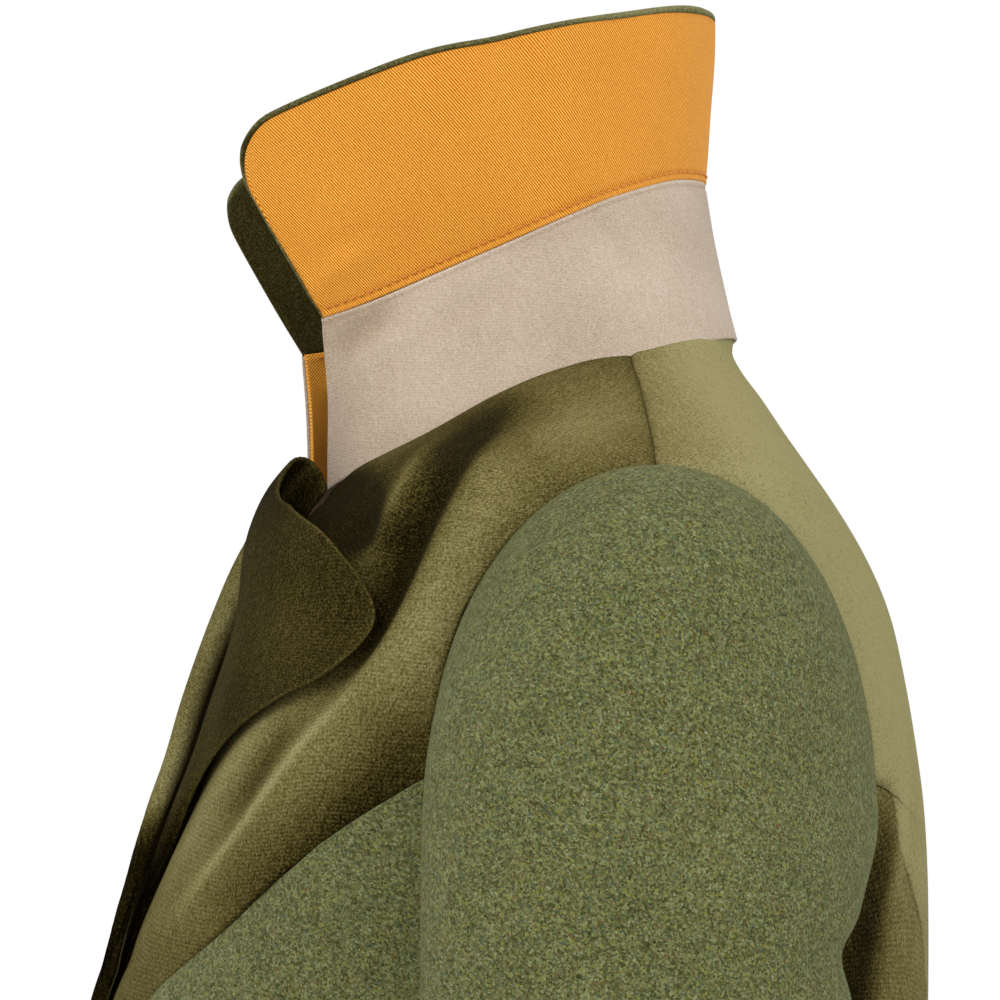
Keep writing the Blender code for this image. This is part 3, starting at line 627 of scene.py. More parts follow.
for side, hand in ((1, "left"), (-1, "right")):
    roll = edge((line(ROLL_LINE[::-1], 0, 0.90), 0.75), (line(ROLL_LINE[::-1], 0.90, 1.0), 1.0))
    outside = edge((hole(270, 360), 0.75), (line([(90, 0.0), tuple(armhole(0.0))])[::-1], 1.0))
    style = line(STYLE_LINE + [tuple(armhole(270.0))])
    cut = coons(edge((style, 1.0)), edge((line(NECKLINE_FRONT), 1.0)), roll, outside,
                spread((1.0, 90)), spread((0.75, 80), (1.0, 32)))
    panel("velvet_front_upper_" + hand, cut, side, hollowed_folds,
          [olive_velvet, olive_lining], 21 + side,
          free=("start", "top"), painted_shading=0.48, lift=lap, shade=front_shade, lean=32)

# ---------------------------------------------------------------------------------------
# Lower fronts and front skirts: green tweed, milled so that its flecks run together, seamed
# to the velvet along the style line and cut off by the waist seam.
# ---------------------------------------------------------------------------------------
FRONT_EDGE = [(-10.7, -0.270), (-12, -0.330), (-12, WAIST)]
SKIRT_EDGE = [(-12, WAIST), (-9, -0.60), (-6, HEM)]
FLARES = [               # turn, half width, height at the hem
    (34, 10, 0.011), (58, 10, -0.008), (82, 10, 0.012), (106, 9, -0.009),
    (128, 10, 0.013), (150, 9, -0.009), (168, 8, 0.008),
]

WAIST_FOLDS = [          # points (y, z), height, width on each flank
    ([(-0.150, -0.250), (-0.100, -0.290), (-0.050, -0.310)], 0.0012, 0.012, 0.014),
    ([(-0.145, -0.345), (-0.100, -0.352), (-0.040, -0.362)], -0.0012, 0.009, 0.011),
]


def heather(name):
    """Milled tweed: short fibres of mixed olive greens, a few of them straw, rust or slate,
    lying in every direction under a light fuzz."""
    made, tree, shader = surface(name, 0.95, 0.10, Sheen_Weight=0.12, Sheen_Roughness=0.5,
                                 Sheen_Tint=(0.62, 0.66, 0.42, 1))
    where = node(tree, "TexCoord").outputs["Object"]
    bent = noise(tree, where, 1100, 2.0)
    shift = node(tree, "CombineXYZ", {"X": bent, "Y": bent, "Z": bent})
    bent = node(tree, "VectorMath", {0: shift.outputs[0], 1: (3e-4, 3e-4, -3e-4), 2: where},
                operation="MULTIPLY_ADD")
    fibre = node(tree, "TexVoronoi", {"Vector": bent.outputs[0], "Scale": 1450.0},
                 feature="F1").outputs["Color"]
    pick = node(tree, "SeparateColor", {0: fibre}).outputs
    fine = noise(tree, where, 2300, 3.0, 0.65)
    clump = noise(tree, where, 330, 3.0, 0.6)
    cloud = noise(tree, where, 40, 2.0)
    # The piece's painted light and shade lightens the tweed on fold ridges and darkens it in
    # troughs and along seams.
    tone = total(tree, (pick[0], 0.72), (fine, 0.34), (clump, 0.12), (cloud, 0.03),
                 (attribute(tree, "painted_shading"), 0.20))
    greens = ramp(tree, tone, [(0.00, (0.036, 0.040, 0.010)), (0.20, (0.072, 0.080, 0.024)),
                               (0.42, (0.120, 0.132, 0.046)), (0.62, (0.168, 0.184, 0.072)),
                               (0.82, (0.240, 0.260, 0.118)), (1.00, (0.340, 0.360, 0.190))])
    flecks = ramp(tree, pick[2], [(0.0, (0.150, 0.082, 0.034)), (0.35, (0.070, 0.110, 0.078)),
                                  (0.70, (0.250, 0.250, 0.045))])
    flecks.node.color_ramp.interpolation = "CONSTANT"
    few = node(tree, "MapRange", {"Value": pick[1], "From Min": 0.78, "From Max": 0.82,
                                  "To Min": 0.0, "To Max": 0.62}).outputs[0]
    mixed = node(tree, "Mix", {0: few, 6: greens, 7: flecks}, data_type="RGBA")
    tree.links.new(mixed.outputs[2], shader.inputs["Base Color"])
    raise_by(tree, shader, total(tree, (fine, 0.7), (pick[0], 0.4), (clump, 0.5)), 0.0004, 0.60)
    return made


green_tweed = heather("green_tweed")


def skirt_folds(point, turn, side):
    """Skirts: flares that start at the waist seam and grow to the hem."""
    drop = np.clip((WAIST - point[..., 2]) / (WAIST - HEM), 0, 1) ** 1.3
    return sum(height * drop * np.exp(-((np.abs(turn) - middle) / half) ** 2)
               for middle, half, height in FLARES)


def waist_folds(point, turn, side):
    """Lower front: two short drag lines where the cloth turns in to the waist."""
    return folds_in(point[..., 1:], WAIST_FOLDS) + skirt_folds(point, turn, side)


for side, hand in ((1, "left"), (-1, "right")):
    style = line(STYLE_LINE + [tuple(armhole(270.0))])
    share = 8 / 14           # of the top edge, along the style line
    top = edge((style, share), (hole(270, 180), 1.0))
    front = line(FRONT_EDGE)[::-1]
    side_seam = np.stack([np.full(90, 90.0), np.linspace(WAIST, armhole(180.0)[1], 90)], -1)
    waist = edge((np.array([(front[0, 0], WAIST), (90, WAIST)]), 1.0))
    cut = coons(waist, top, edge((front, 1.0)), edge((side_seam, 1.0)),
                spread((share, 62), (1.0, 46)), spread((1.0, 72)))
    panel("tweed_front_lower_" + hand, cut, side, waist_folds, [green_tweed, olive_lining],
          31 + side, free=("start",), lift=lap)

    front = line(SKIRT_EDGE)[::-1]
    hem = edge((np.array([(front[0, 0], HEM), (90, HEM)]), 1.0))
    side_seam = np.array([(90, HEM), (90, WAIST)], float)
    cut = coons(hem, waist, edge((front, 1.0)), edge((side_seam, 1.0)),
                spread((1.0, 88)), spread((1.0, 96)))
    panel("tweed_skirt_front_" + hand, cut, side, skirt_folds, [green_tweed, olive_lining],
          35 + side, free=("start", "bottom"), lift=lap)

# ---------------------------------------------------------------------------------------
# Back skirts: olive velvet, open in a vent up the centre back.
# ---------------------------------------------------------------------------------------
VENT_EDGE = [(180, WAIST), (180, -0.56), (178.4, HEM)]

for side, hand in ((1, "left"), (-1, "right")):
    back = line([tuple(armhole(90.0))] + BACK_SEAM)[-1, 0]
    share = 6 / 11           # of the waist, below the side back
    waist = edge((np.array([(90, WAIST), (back, WAIST)]), share),
                 (np.array([(back, WAIST), (180, WAIST)]), 1.0))
    vent = line(VENT_EDGE)[::-1]
    hem = edge((np.array([(90, HEM), (vent[0, 0], HEM)]), 1.0))
    side_seam = np.array([(90, HEM), (90, WAIST)], float)
    cut = coons(hem, waist, edge((side_seam, 1.0)), edge((vent, 1.0)),
                spread((share, 46), (1.0, 40)), spread((1.0, 96)))
    panel("velvet_skirt_back_" + hand, cut, side, skirt_folds, [olive_velvet, olive_lining],
          41 + side, free=("bottom", "end"))

# ---------------------------------------------------------------------------------------
# Lapels: velvet faced, each turned back along the roll line in a round fold. The top stands
# off the front in a soft loop; the lower part lies flat and runs out at the lap.
# ---------------------------------------------------------------------------------------
LAPEL_START = 0.993      # part of the roll line, from the hem end, where its top is
LAPEL_TOP = [tuple(line(ROLL_LINE, 1 - LAPEL_START, 1)[0]), (22, -0.054), (32, -0.063),
             (43, -0.073), (52, -0.086)]
LAPEL_EDGE = [(52, -0.086), (52.5, -0.100), (46.5, -0.113), (37, -0.121), (23, -0.131),
              (14.5, -0.139), (7.5, -0.149), (-0.5, -0.173), (-5.0, -0.225), (-9.8, -0.269)]
LAPEL_LIFT = [           # height, radius of the roll left and right, lift of the cut edge
    (-0.270, 0.0002, 0.0002, 0.0004), (-0.200, 0.0002, 0.0004, 0.0004),
    (-0.180, 0.0012, 0.0010, 0.0010), (-0.155, 0.0024, 0.0014, 0.0020),
    (-0.124, 0.0024, 0.0022, 0.0035), (-0.090, 0.0028, 0.0028, 0.0070),
    (-0.060, 0.0062, 0.0042, 0.0120), (-0.043, 0.0062, 0.0050, 0.0140),
]
LOBE, LOBE_DOWN = 0.36, 0.15     # parts of its width and length taken by the round corner
PRESSED = 0.0006         # space between two layers pressed flat
LAPEL_STEPS, BEND_STEPS = 44, 12          # steps across the flap, and round its roll
TAIL_START, TAIL_LONG = -0.146, 0.020     # where painted shade darkens the lapel into the lap, and over what
LOOP_HEIGHT, LOOP_LONG = -0.044, 0.014    # middle and half height of the painted shade under the loop at the top
PER_DEGREE_FRONT = 0.0029
# A shaded copy of the olive velvet for the lapels: the same colours with less and duller sheen.
dark_velvet = pile("dark_velvet", OLIVE, (0.70, 0.60, 0.22, 1), 0.015, 0.30, 0.9)


def lapel(side, hand):
    """Lapel: a half circle round the roll line, then a flap whose height over the front goes
    from the full fold to the lift of its cut edge. Its outer corner is an ellipse, by the
    square to disc mapping."""
    up = spread((0.75, 104), (1.0, 34))
    roll = edge((line(ROLL_LINE[::-1], 0, 0.90), 0.75),
                (line(ROLL_LINE[::-1], 0.90, LAPEL_START), 1.0))(up)[::-1]
    rim = edge((line(LAPEL_EDGE[::-1], 0, 0.90), 0.75),
               (line(LAPEL_EDGE[::-1], 0.90, 1.0), 1.0))(up)[::-1]
    down = 1 - up[::-1]
    share = spread((1.0, LAPEL_STEPS))
    share = share[(share == 0) | (share >= 1 / LAPEL_STEPS - 1e-9)]

    def as_edge(points):
        return lambda f: np.stack([np.interp(f, down, points[:, k]) for k in (0, 1)], -1)

    share, low = np.meshgrid(share, down)
    near_rim = np.clip(1 - (1 - share) / LOBE, 0, 1)
    near_top = np.clip(1 - low / LOBE_DOWN, 0, 1)
    share = share - LOBE * near_rim * (1 - np.sqrt(1 - near_top ** 2 / 2))
    low = low + LOBE_DOWN * near_top * (1 - np.sqrt(1 - near_rim ** 2 / 2))
    flap = coons(edge((line(LAPEL_TOP), 1.0)), edge((np.array([roll[-1], rim[-1]]), 1.0)),
                 as_edge(roll), as_edge(rim), share, low)
    roll_left, roll_right, edge_lift = table(LAPEL_LIFT, flap[..., 1])
    radius = (roll_left if side > 0 else roll_right)[:, :1]
    base = body(flap[..., 0], flap[..., 1])
    under = front_folds(base, flap[..., 0], side) * (1 - 0.5 * share)
    swell = 0.0010 * np.sin(np.pi * share) * (1 + 0.6 * waver(base, 0.060, 51 + side))
    lift = 2 * radius * (1 - share) ** 2 + edge_lift * (1 - (1 - share) ** 2) + PRESSED + swell
    way = (flap[:, 1] - flap[:, 0]) / np.linalg.norm(
        (flap[:, 1] - flap[:, 0]) * (PER_DEGREE_FRONT, 1), axis=-1, keepdims=True)
    bend = np.linspace(0, np.pi, BEND_STEPS + 1)[None, :-1]
    grids = []
    for wall in (WALL, 0.0):
        round_fold = radius + PRESSED / 2
        aside = -(round_fold + wall) * np.sin(bend) - GAP
        out = round_fold - (round_fold + wall) * np.cos(bend)
        at = roll[:, None] + way[:, None] * aside[..., None]
        stand = lap(at[..., 0], at[..., 1], side) \
            + front_folds(body(at[..., 0], at[..., 1]), at[..., 0], side)
        turned = cloth(at[..., 0], at[..., 1], out, side, stand)
        stand = lap(flap[..., 0], flap[..., 1], side) + under
        over = cloth(flap[..., 0], flap[..., 1], lift + wall, side, stand)
        grids.append(np.concatenate([turned, over], axis=1))
    face, below = grids
    thick = unit(face - below) * WALL
    away = from_edges(face)
    close = np.clip(np.minimum(away[3], np.minimum(away[0], away[1])) / 0.0011, 0, 1)
    rim_roll = 0.38 * (1 - np.sqrt(1 - (1 - close) ** 2))[..., None]
    face, below = face - thick * rim_roll, below + thick * rim_roll
    # Painted light and shade of the lapel: a painted highlight along its edges and, on the left,
    # along its roll; on the right a painted light strip beside the roll; painted shade where it
    # runs into the lap and under the loop at the top.
    tail = np.clip((TAIL_START - face[..., 2]) / TAIL_LONG, 0, 1)
    edge_highlight = np.exp(-(np.minimum(away[3], away[0]) / 0.0008) ** 2)
    roll_highlight = np.exp(-((np.arange(face.shape[1]) - 7) / 0.9) ** 2)[None, :]
    bright = 0.22 * roll_highlight if side > 0 \
        else (0.50 - 0.55 * tail) * np.exp(-(away[2] / 0.030) ** 2)
    loop = np.exp(-((face[..., 2] - LOOP_HEIGHT) / LOOP_LONG) ** 2)
    tone = 0.21 + 0.18 * edge_highlight * (1 - tail) + 0.05 * waver(face, 0.05, 53) + bright \
        - 0.20 * tail - 0.10 * loop
    return shell("velvet_lapel_" + hand, face, below, [dark_velvet, dark_velvet],
                 np.clip(tone, 0.02, 1), flip=side > 0), face


for side, hand in ((1, "left"), (-1, "right")):
    piece, face = lapel(side, hand)
    sewn(piece, "lapel_" + hand)

# ---------------------------------------------------------------------------------------
# Collar: a stand of pale cotton velvet and a turned-up fall of amber twill, edge-stitched
# over the seam between them. Both are faced on the neck side, the fall with dark green
# velvet that rolls out round its free edges.
# ---------------------------------------------------------------------------------------
COLLAR = [               # turn, seam between stand and fall, upper edge of the fall
    (15, (0.0500, -0.1028, 0.0138), (0.0535, -0.1380, 0.0735)),
    (25, (0.0585, -0.0868, 0.0187), (0.0680, -0.1165, 0.0830)),
    (36, (0.0670, -0.0538, 0.0323), (0.0810, -0.0846, 0.0948)),
    (62, (0.0660, -0.0201, 0.0477), (0.0840, -0.0446, 0.1050)),
    (90, (0.0580, -0.0026, 0.0559), (0.0790, -0.0200, 0.1115)),
    (111, (0.0450, 0.0124, 0.0621), (0.0650, 0.0000, 0.1170)),
    (145, (0.0250, 0.0260, 0.0662), (0.0400, 0.0235, 0.1238)),
    (180, (0.0000, 0.0318, 0.0678), (0.0000, 0.0355, 0.1268)),
]
LAYER = 0.0012           # thickness of one layer of the collar
BETWEEN = 0.0003         # space between its outer layer and its facing
CORNER, CORNER_CUT = 8.0, 0.30      # degrees and part of the height taken by a round corner
TURN_OVER, TURN_OVER_BACK, TURN_OVER_END = 0.0019, 0.0032, 0.0011   # green velvet that
                         # shows round the twill: at the top in front, at the back, at the ends
FALL_HEIGHT, STAND_HEIGHT = 0.068, 0.052
BEAD = 0.0004            # how far the green velvet's rolled edge stands off the twill
FAR_AHEAD = 0.0026       # how much further forward the right end of the stand reaches
COLLAR_PER_DEGREE = 0.0026          # length along the fall's front of one degree of turn
STITCH_LINE = 0.0026     # height of the edge stitching over the seam
COLLAR_FOLDS = [         # points (y, z), height, width on each flank
    ([(-0.078, 0.017), (-0.090, 0.010), (-0.100, 0.000)], -0.0016, 0.0040, 0.0030),
    ([(-0.074, 0.009), (-0.086, 0.001), (-0.096, -0.009)], 0.0007, 0.0040, 0.0040),
    ([(-0.016, 0.053), (-0.004, 0.041), (0.008, 0.026)], -0.0008, 0.0050, 0.0045),
    ([(-0.072, 0.006), (-0.054, 0.017), (-0.036, 0.024)], -0.0006, 0.0050, 0.0060),
    ([(-0.108, 0.020), (-0.098, 0.030), (-0.084, 0.037)], 0.0010, 0.0030, 0.0045),
    ([(-0.106, 0.031), (-0.097, 0.038), (-0.086, 0.043)], -0.0006, 0.0030, 0.0035),
]


def on_line(rows, turn):
    """Height of a seam line at a turn, for a line whose turn only grows."""
    fine = line(rows)
    return np.interp(turn, fine[:, 0], fine[:, 1])


def collar_face(turn, rise):
    """Collar's outer face: rise 0 to 1 from the neckline to the seam, slightly hollow, and 1
    to 2 from the seam to the upper edge, slightly full."""
    rows = np.array([(row[0],) + row[1] + row[2] for row in COLLAR])
    mirror = rows[-2::-1] * (1, -1, 1, 1, -1, 1, 1)
    mirror[:, 0] = 360 - mirror[:, 0]
    rows = np.concatenate([rows, mirror])
    marks = smooth(rows[:, 0], rows[:, 1:], turn)
    half = np.where(turn > 180, 360 - turn, turn)
    other = np.where(turn > 180, -1, 1)
    heights = np.where(half < 90, on_line(NECKLINE_FRONT, half), on_line(NECKLINE_BACK, half))
    neck = cloth(half, heights, 0.0003, 1) * np.stack([other, 1 + 0 * half, 1 + 0 * half], -1)
    neck[..., 2] += BETWEEN
    seam, top = marks[..., :3], marks[..., 3:]
    ahead = np.clip((turn - 300) / 45, 0, 1) ** 2
    neck[..., 1] -= FAR_AHEAD * ahead
    seam[..., 1] -= FAR_AHEAD * ahead
    top[..., 1] -= 0.4 * FAR_AHEAD * ahead
    rise = rise[..., None]
    stand = neck + (seam - neck) * np.clip(rise, -1, 1)
    fall = seam + (top - seam) * (rise - 1)
    return np.where(rise <= 1, stand, fall)


NORMAL_STEP = 0.2        # degrees to each side for a tangent round the collar


def collar_normal(turn, rise, low, high):
    """Unit normal of the collar's face, from its tangents round the neck and up it."""
    round_way = collar_face(turn + NORMAL_STEP, rise) - collar_face(turn - NORMAL_STEP, rise)
    up_way = collar_face(turn, np.full(rise.shape, high)) \
        - collar_face(turn, np.full(rise.shape, low))
    return unit(np.cross(round_way, up_way))


def round_neck(fractions):
    """Turn of the neckline at fractions of its length, from the left end to the right."""
    turn = np.concatenate([line(NECKLINE_FRONT)[:, 0], line(NECKLINE_BACK, count=150)[1:, 0]])
    turn = np.concatenate([turn, 360 - turn[-2::-1]])
    return np.interp(fractions, np.linspace(0, 1, len(turn)), turn)


def collar_crease(face, rise, seed, fall):
    """Rise of the collar's folds: the listed ones, a slow waver, and the fullness of
    the fall or the hollow of the stand between their edges."""
    full, level = (0.0010, 1.0) if fall else (-0.0008, 0.0)
    return folds_in(face[..., 1:], COLLAR_FOLDS) + 0.00035 * waver(face, 0.030, seed) \
        + full * np.sin(np.pi * (rise - level))


def collar_layer(low, high, outside, inside, steps, seed, inset=False, wrap=False,
                 grooved=False):
    """One layer of the collar between two rises, from `outside` to `inside` deep under the
    outer face. The fall's corners are ellipses: the square to disc mapping bends both ways
    of the grid there. A layer that is `inset` leaves room for the bead of a wrapped one,
    which comes forward round its free edges."""
    ends = np.array([0, 0.0007, 0.0018, 0.0033, 0.0052, 0.0075, 0.0100, 0.0125])
    across = np.concatenate([ends, np.linspace(0.016, 0.984, steps), 1 - ends[::-1]])
    rims = np.array([0, 0.006, 0.014, 0.023, 0.032, 0.042, 0.055, 0.07])
    up = np.concatenate([rims, np.linspace(0.09, 0.91, 24), 1 - rims[::-1]])[:, None]
    turn = round_neck(across)
    first, last = turn[0], turn[-1]
    if inset:
        wide = TURN_OVER_END / COLLAR_PER_DEGREE
        turn = first + wide + (turn - first) * (last - first - 2 * wide) / (last - first)
        first, last = turn[0], turn[-1]
        rear = np.clip((90 - np.abs(turn - 180)) / 90, 0, 1)
        high = high - (TURN_OVER + (TURN_OVER_BACK - TURN_OVER) * rear) / FALL_HEIGHT
    rise = low + (high - low) * up + 0 * turn
    turn = turn + 0 * rise
    if wrap or inset:
        across_way = np.clip(1 - np.minimum(turn - first, last - turn) / CORNER, 0, 1)
        up_way = np.clip(1 - (high - rise) / CORNER_CUT, 0, 1)
        slip = across_way * (1 - np.sqrt(1 - up_way ** 2 / 2)) * CORNER
        rise -= up_way * (1 - np.sqrt(1 - across_way ** 2 / 2)) * CORNER_CUT
        turn += np.where(turn < 180, slip, -slip)
    fall = wrap or inset
    face, normal = collar_face(turn, rise), collar_normal(turn, rise, low, np.max(high))
    crease = collar_crease(face, rise, seed, fall)
    away = from_edges(face)
    if grooved:
        crease = crease - 0.00035 * np.exp(-((away[0] - STITCH_LINE) / 0.0009) ** 2) \
            + 0.0004 * np.exp(-(away[0] / 0.0015) ** 2)
    near = np.clip(away.min(0) / EDGE_ROLL, 0, 1)
    soft = ROLL_SHARE * (inside - outside) * (1 - np.sqrt(1 - (1 - near) ** 2))
    front = outside + soft
    behind = inside - soft
    if wrap:
        rear = np.clip((90 - np.abs(turn - 180)) / 90, 0, 1)
        reach = TURN_OVER + (TURN_OVER_BACK - TURN_OVER) * rear
        free = np.minimum(away[1], away[2:].min(0) + TURN_OVER - TURN_OVER_END)
        bead = np.clip((reach + BEAD - free) / 0.0006, 0, 1)
        free = away[1:].min(0)
        bead = bead * bead * (3 - 2 * bead)
        half = (inside + BEAD) / 2
        curl = half * (1 - np.sqrt(np.clip(1 - (1 - np.clip(free / half, 0, 1)) ** 2, 0, 1)))
        front = outside + bead * (-BEAD - outside) + np.where(free < half, 0.9 * curl, 0)
        behind = inside - np.where(free < half, 0.9 * curl, 0) - 0.3 * soft
    if not fall:
        crease = crease - 0.00025 * np.exp(-((away[1] - 0.0022) / 0.0008) ** 2)
    outer = face + normal * (crease - front)[..., None]
    inner = face + normal * (crease - behind)[..., None]
    outer, inner = (trim(grid, GAP) for grid in (outer, inner))
    return outer, inner, away, face


def level_grain(face):
    """Cloth with its grain upright: across is the level run of the middle row, plus how far
    a point lies along it from there; up is the height."""
    middle = face[len(face) // 2, :, :2]
    run = np.concatenate([[0], np.cumsum(np.linalg.norm(np.diff(middle, axis=0), axis=1))])
    ahead = ((face[..., :2] - middle) * unit(np.gradient(middle, axis=0))).sum(-1)
    return np.stack([run - run[-1] / 2 + ahead, face[..., 2]], -1)


TWILL_PITCH, TWILL_ANGLE = 0.00082, -0.73      # between two ribs, slant of the ribs
WAVE_SCALE = 0.314       # a wave texture's scale for bands one unit apart


def diagonal_twill(name, dark, body_colour, light, tint):
    """Cotton twill: raised diagonal ribs 0.8 mm apart, a little uneven."""
    made, tree, shader = surface(name, 0.72, 0.20, Sheen_Weight=0.05, Sheen_Tint=tint)
    where = node(tree, "UVMap", uv_map="cloth").outputs[0]
    turned = node(tree, "Mapping", {"Vector": where, "Rotation": (0, 0, TWILL_ANGLE)}).outputs[0]
    space = node(tree, "TexCoord").outputs["Object"]
    ribs = node(tree, "TexWave", {"Vector": turned, "Scale": WAVE_SCALE / TWILL_PITCH,
                                  "Distortion": 0.12, "Detail": 1.0, "Detail Scale": 3.0},
                bands_direction="X").outputs["Fac"]
    grain = noise(tree, space, 1300, 2.0)
    cloud = noise(tree, space, 45, 3.0)
    # The piece's painted light and shade: by its folds, painted shade along the fall's free edges
    # and in the groove of its stitching.
    tone = total(tree, (ribs, 0.96), (grain, 0.16), (cloud, 0.03),
                 (attribute(tree, "painted_shading"), 0.26))
    colour_by(tree, shader, tone, [(0.10, dark), (0.55, body_colour), (1.0, light)])
    raise_by(tree, shader, total(tree, (ribs, 1.0), (grain, 0.12)), 0.00020, 0.6)
    return made


amber_twill = diagonal_twill("amber_twill", (0.42, 0.110, 0.001), (0.77, 0.275, 0.013),
                             (1.00, 0.510, 0.085), (1.0, 0.70, 0.35, 1))
PALE = [(0.0, (0.38, 0.290, 0.205)), (0.35, (0.52, 0.415, 0.315)), (0.65, (0.63, 0.520, 0.415)),
        (1.0, (0.78, 0.690, 0.590))]
pale_velvet = pile("pale_velvet", PALE, (0.95, 0.92, 0.92, 1), 0.25, 0.40, 0.9, 0.0012)
GREEN = [(0.0, (0.010, 0.008, 0.0016)), (0.3, (0.030, 0.023, 0.0050)),
         (0.6, (0.085, 0.076, 0.0240)), (1.0, (0.25, 0.24, 0.110))]
green_velvet = pile("green_velvet", GREEN, (0.66, 0.68, 0.40, 1), 0.25, 0.30, 0.8)

outer, inner, away, face = collar_layer(-0.040, 1, 0, LAYER, 120, 61)
# Painted light and shade of the stand: painted shade at its front ends, painted light and shade by
# its folds, a painted highlight along its top edge with painted shade just under it, and a random
# waver.
front_end_shade = np.exp(-(np.minimum(away[2], away[3]) / 0.030) ** 2)
tone = 0.42 + 150 * folds_in(face[..., 1:], COLLAR_FOLDS) - 0.26 * front_end_shade \
    + 0.55 * np.exp(-(away[1] / 0.0011) ** 2) - 0.22 * np.exp(-((away[1] - 0.0023) / 0.0007) ** 2) \
    + 0.10 * waver(face, 0.030, 62)
piece = shell("velvet_collar_stand_outer", outer, inner, [pale_velvet], np.clip(tone, 0, 1))
sewn(piece, "collar_stand_outer")

layer = LAYER + BETWEEN
outer, inner, away, face = collar_layer(0.16, 1, layer, layer + LAYER, 120, 63)
piece = shell("twill_collar_stand_inner", outer, inner, [amber_twill], 0.9,
              laid=level_grain(outer))
sewn(piece, "collar_stand_inner")

outer, inner, away, face = collar_layer(0.995, 2, -0.0002, LAYER, 150, 61, inset=True,
                                        grooved=True)
# Painted light and shade of the fall: by its folds, painted shade along its free edges and in the
# groove of the edge stitching.
tone = 0.40 + 70 * folds_in(face[..., 1:], COLLAR_FOLDS) \
    - 0.5 * np.exp(-(away[1:].min(0) / 0.0012) ** 2) \
    - 0.9 * np.exp(-((away[0] - STITCH_LINE) / 0.0007) ** 2)
fall = shell("twill_collar_fall_outer", outer, inner, [amber_twill], np.clip(tone, 0, 1),
             laid=level_grain(outer))
sewn(fall, "collar_fall_outer")

outer, inner, away, face = collar_layer(0.985, 2, layer, layer + LAYER, 150, 64, wrap=True)
# Painted highlight on the green velvet's rim: along its top edge, stronger towards the back, and
# along its left end, with a random waver.
rear = np.clip((face[..., 1] + 0.060) / 0.070, 0, 1)
tone = 0.30 + (0.34 + 0.30 * rear) * np.exp(-(away[1] / 0.0030) ** 2) \
    + 0.50 * np.exp(-(away[2] / 0.0016) ** 2) + 0.05 * waver(face, 0.05, 65)
piece = shell("velvet_collar_fall_inner", outer, inner, [green_velvet], np.clip(tone, 0, 1))
sewn(piece, "collar_fall_inner")

# ---------------------------------------------------------------------------------------
# Edge stitching of the collar: a row of amber thread just over the seam outside, and a row
# just under it on the facing.
# ---------------------------------------------------------------------------------------
STITCH, STITCH_PITCH = 0.0027, 0.0032    # length of a stitch, from one to the next
THREAD = 0.00034         # radius of the thread
STITCH_FALL = 0.066      # height of the fall where the stitching runs
FACING_LINE = 0.0030     # how far under the seam the facing's stitching runs
amber_thread, tree, shader = surface("amber_thread", 0.55, 0.35)
thread_noise = noise(tree, node(tree, "TexCoord").outputs["Object"], 2600, 2.0)
colour_by(tree, shader, thread_noise, [(0.0, (0.62, 0.22, 0.03)), (1.0, (0.95, 0.50, 0.13))])


def stitches(name, level, depth):
    """Row of stitches on the collar, at one rise: each a thread laid along the face and
    dipping in at both ends, as a six-sided tube of five rings."""
    fine = round_neck(np.linspace(0.004, 0.996, 3000))
    rise = np.full(fine.shape, level)
    path = collar_face(fine, rise)
    normal = collar_normal(fine, rise, 1, 2)
    path = path + normal * collar_crease(path, rise, 61, True)[:, None]
    run = np.concatenate([[0], np.cumsum(np.linalg.norm(np.diff(path, axis=0), axis=1))])
    starts = np.arange(0.0015, run[-1] - STITCH_PITCH, STITCH_PITCH)
    jitter = 0.00012 * np.sin(starts * 5100)
    along = np.linspace(0, 1, 5)
    at = starts[:, None] + jitter[:, None] + STITCH * along

    def read(grid):
        return np.stack([np.interp(at, run, grid[:, k]) for k in range(3)], -1)

    up = read(normal)
    lift = THREAD * (0.75 - 2.2 * np.abs(2 * along - 1) ** 3) - depth
    middle = read(path) + up * np.broadcast_to(lift, at.shape)[..., None]
    forward = unit(np.gradient(middle, axis=1))
    aside = unit(np.cross(forward, up))
    turn = np.arange(6) * np.pi / 3
    thick = THREAD * (1 - 0.45 * np.abs(2 * along - 1) ** 4)[None, :, None, None]
    ring = middle[:, :, None] + thick * (aside[:, :, None] * np.cos(turn)[:, None]
                                         + up[:, :, None] * np.sin(turn)[:, None])
    count, rings, sides = ring.shape[:3]
    index = np.arange(count * rings * sides).reshape(count, rings, sides)
    after = np.roll(index, -1, axis=2)
    walls = np.stack([index[:, :-1], after[:, :-1], after[:, 1:], index[:, 1:]], -1)
    mesh = bpy.data.meshes.new(name)
    mesh.from_pydata(ring.reshape(-1, 3).tolist(), [], walls.reshape(-1, 4).tolist()
                     + index[:, 0, ::-1].tolist() + index[:, -1].tolist())
    mesh.shade_smooth()
    mesh.materials.append(amber_thread)
    piece = linked(name, mesh)
    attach(piece, "root")


stitches("collar_edge_stitching", 1 + STITCH_LINE / STITCH_FALL, -0.0001)
stitches("collar_facing_stitching", 1 - FACING_LINE / STAND_HEIGHT, 2 * layer + 0.0006)

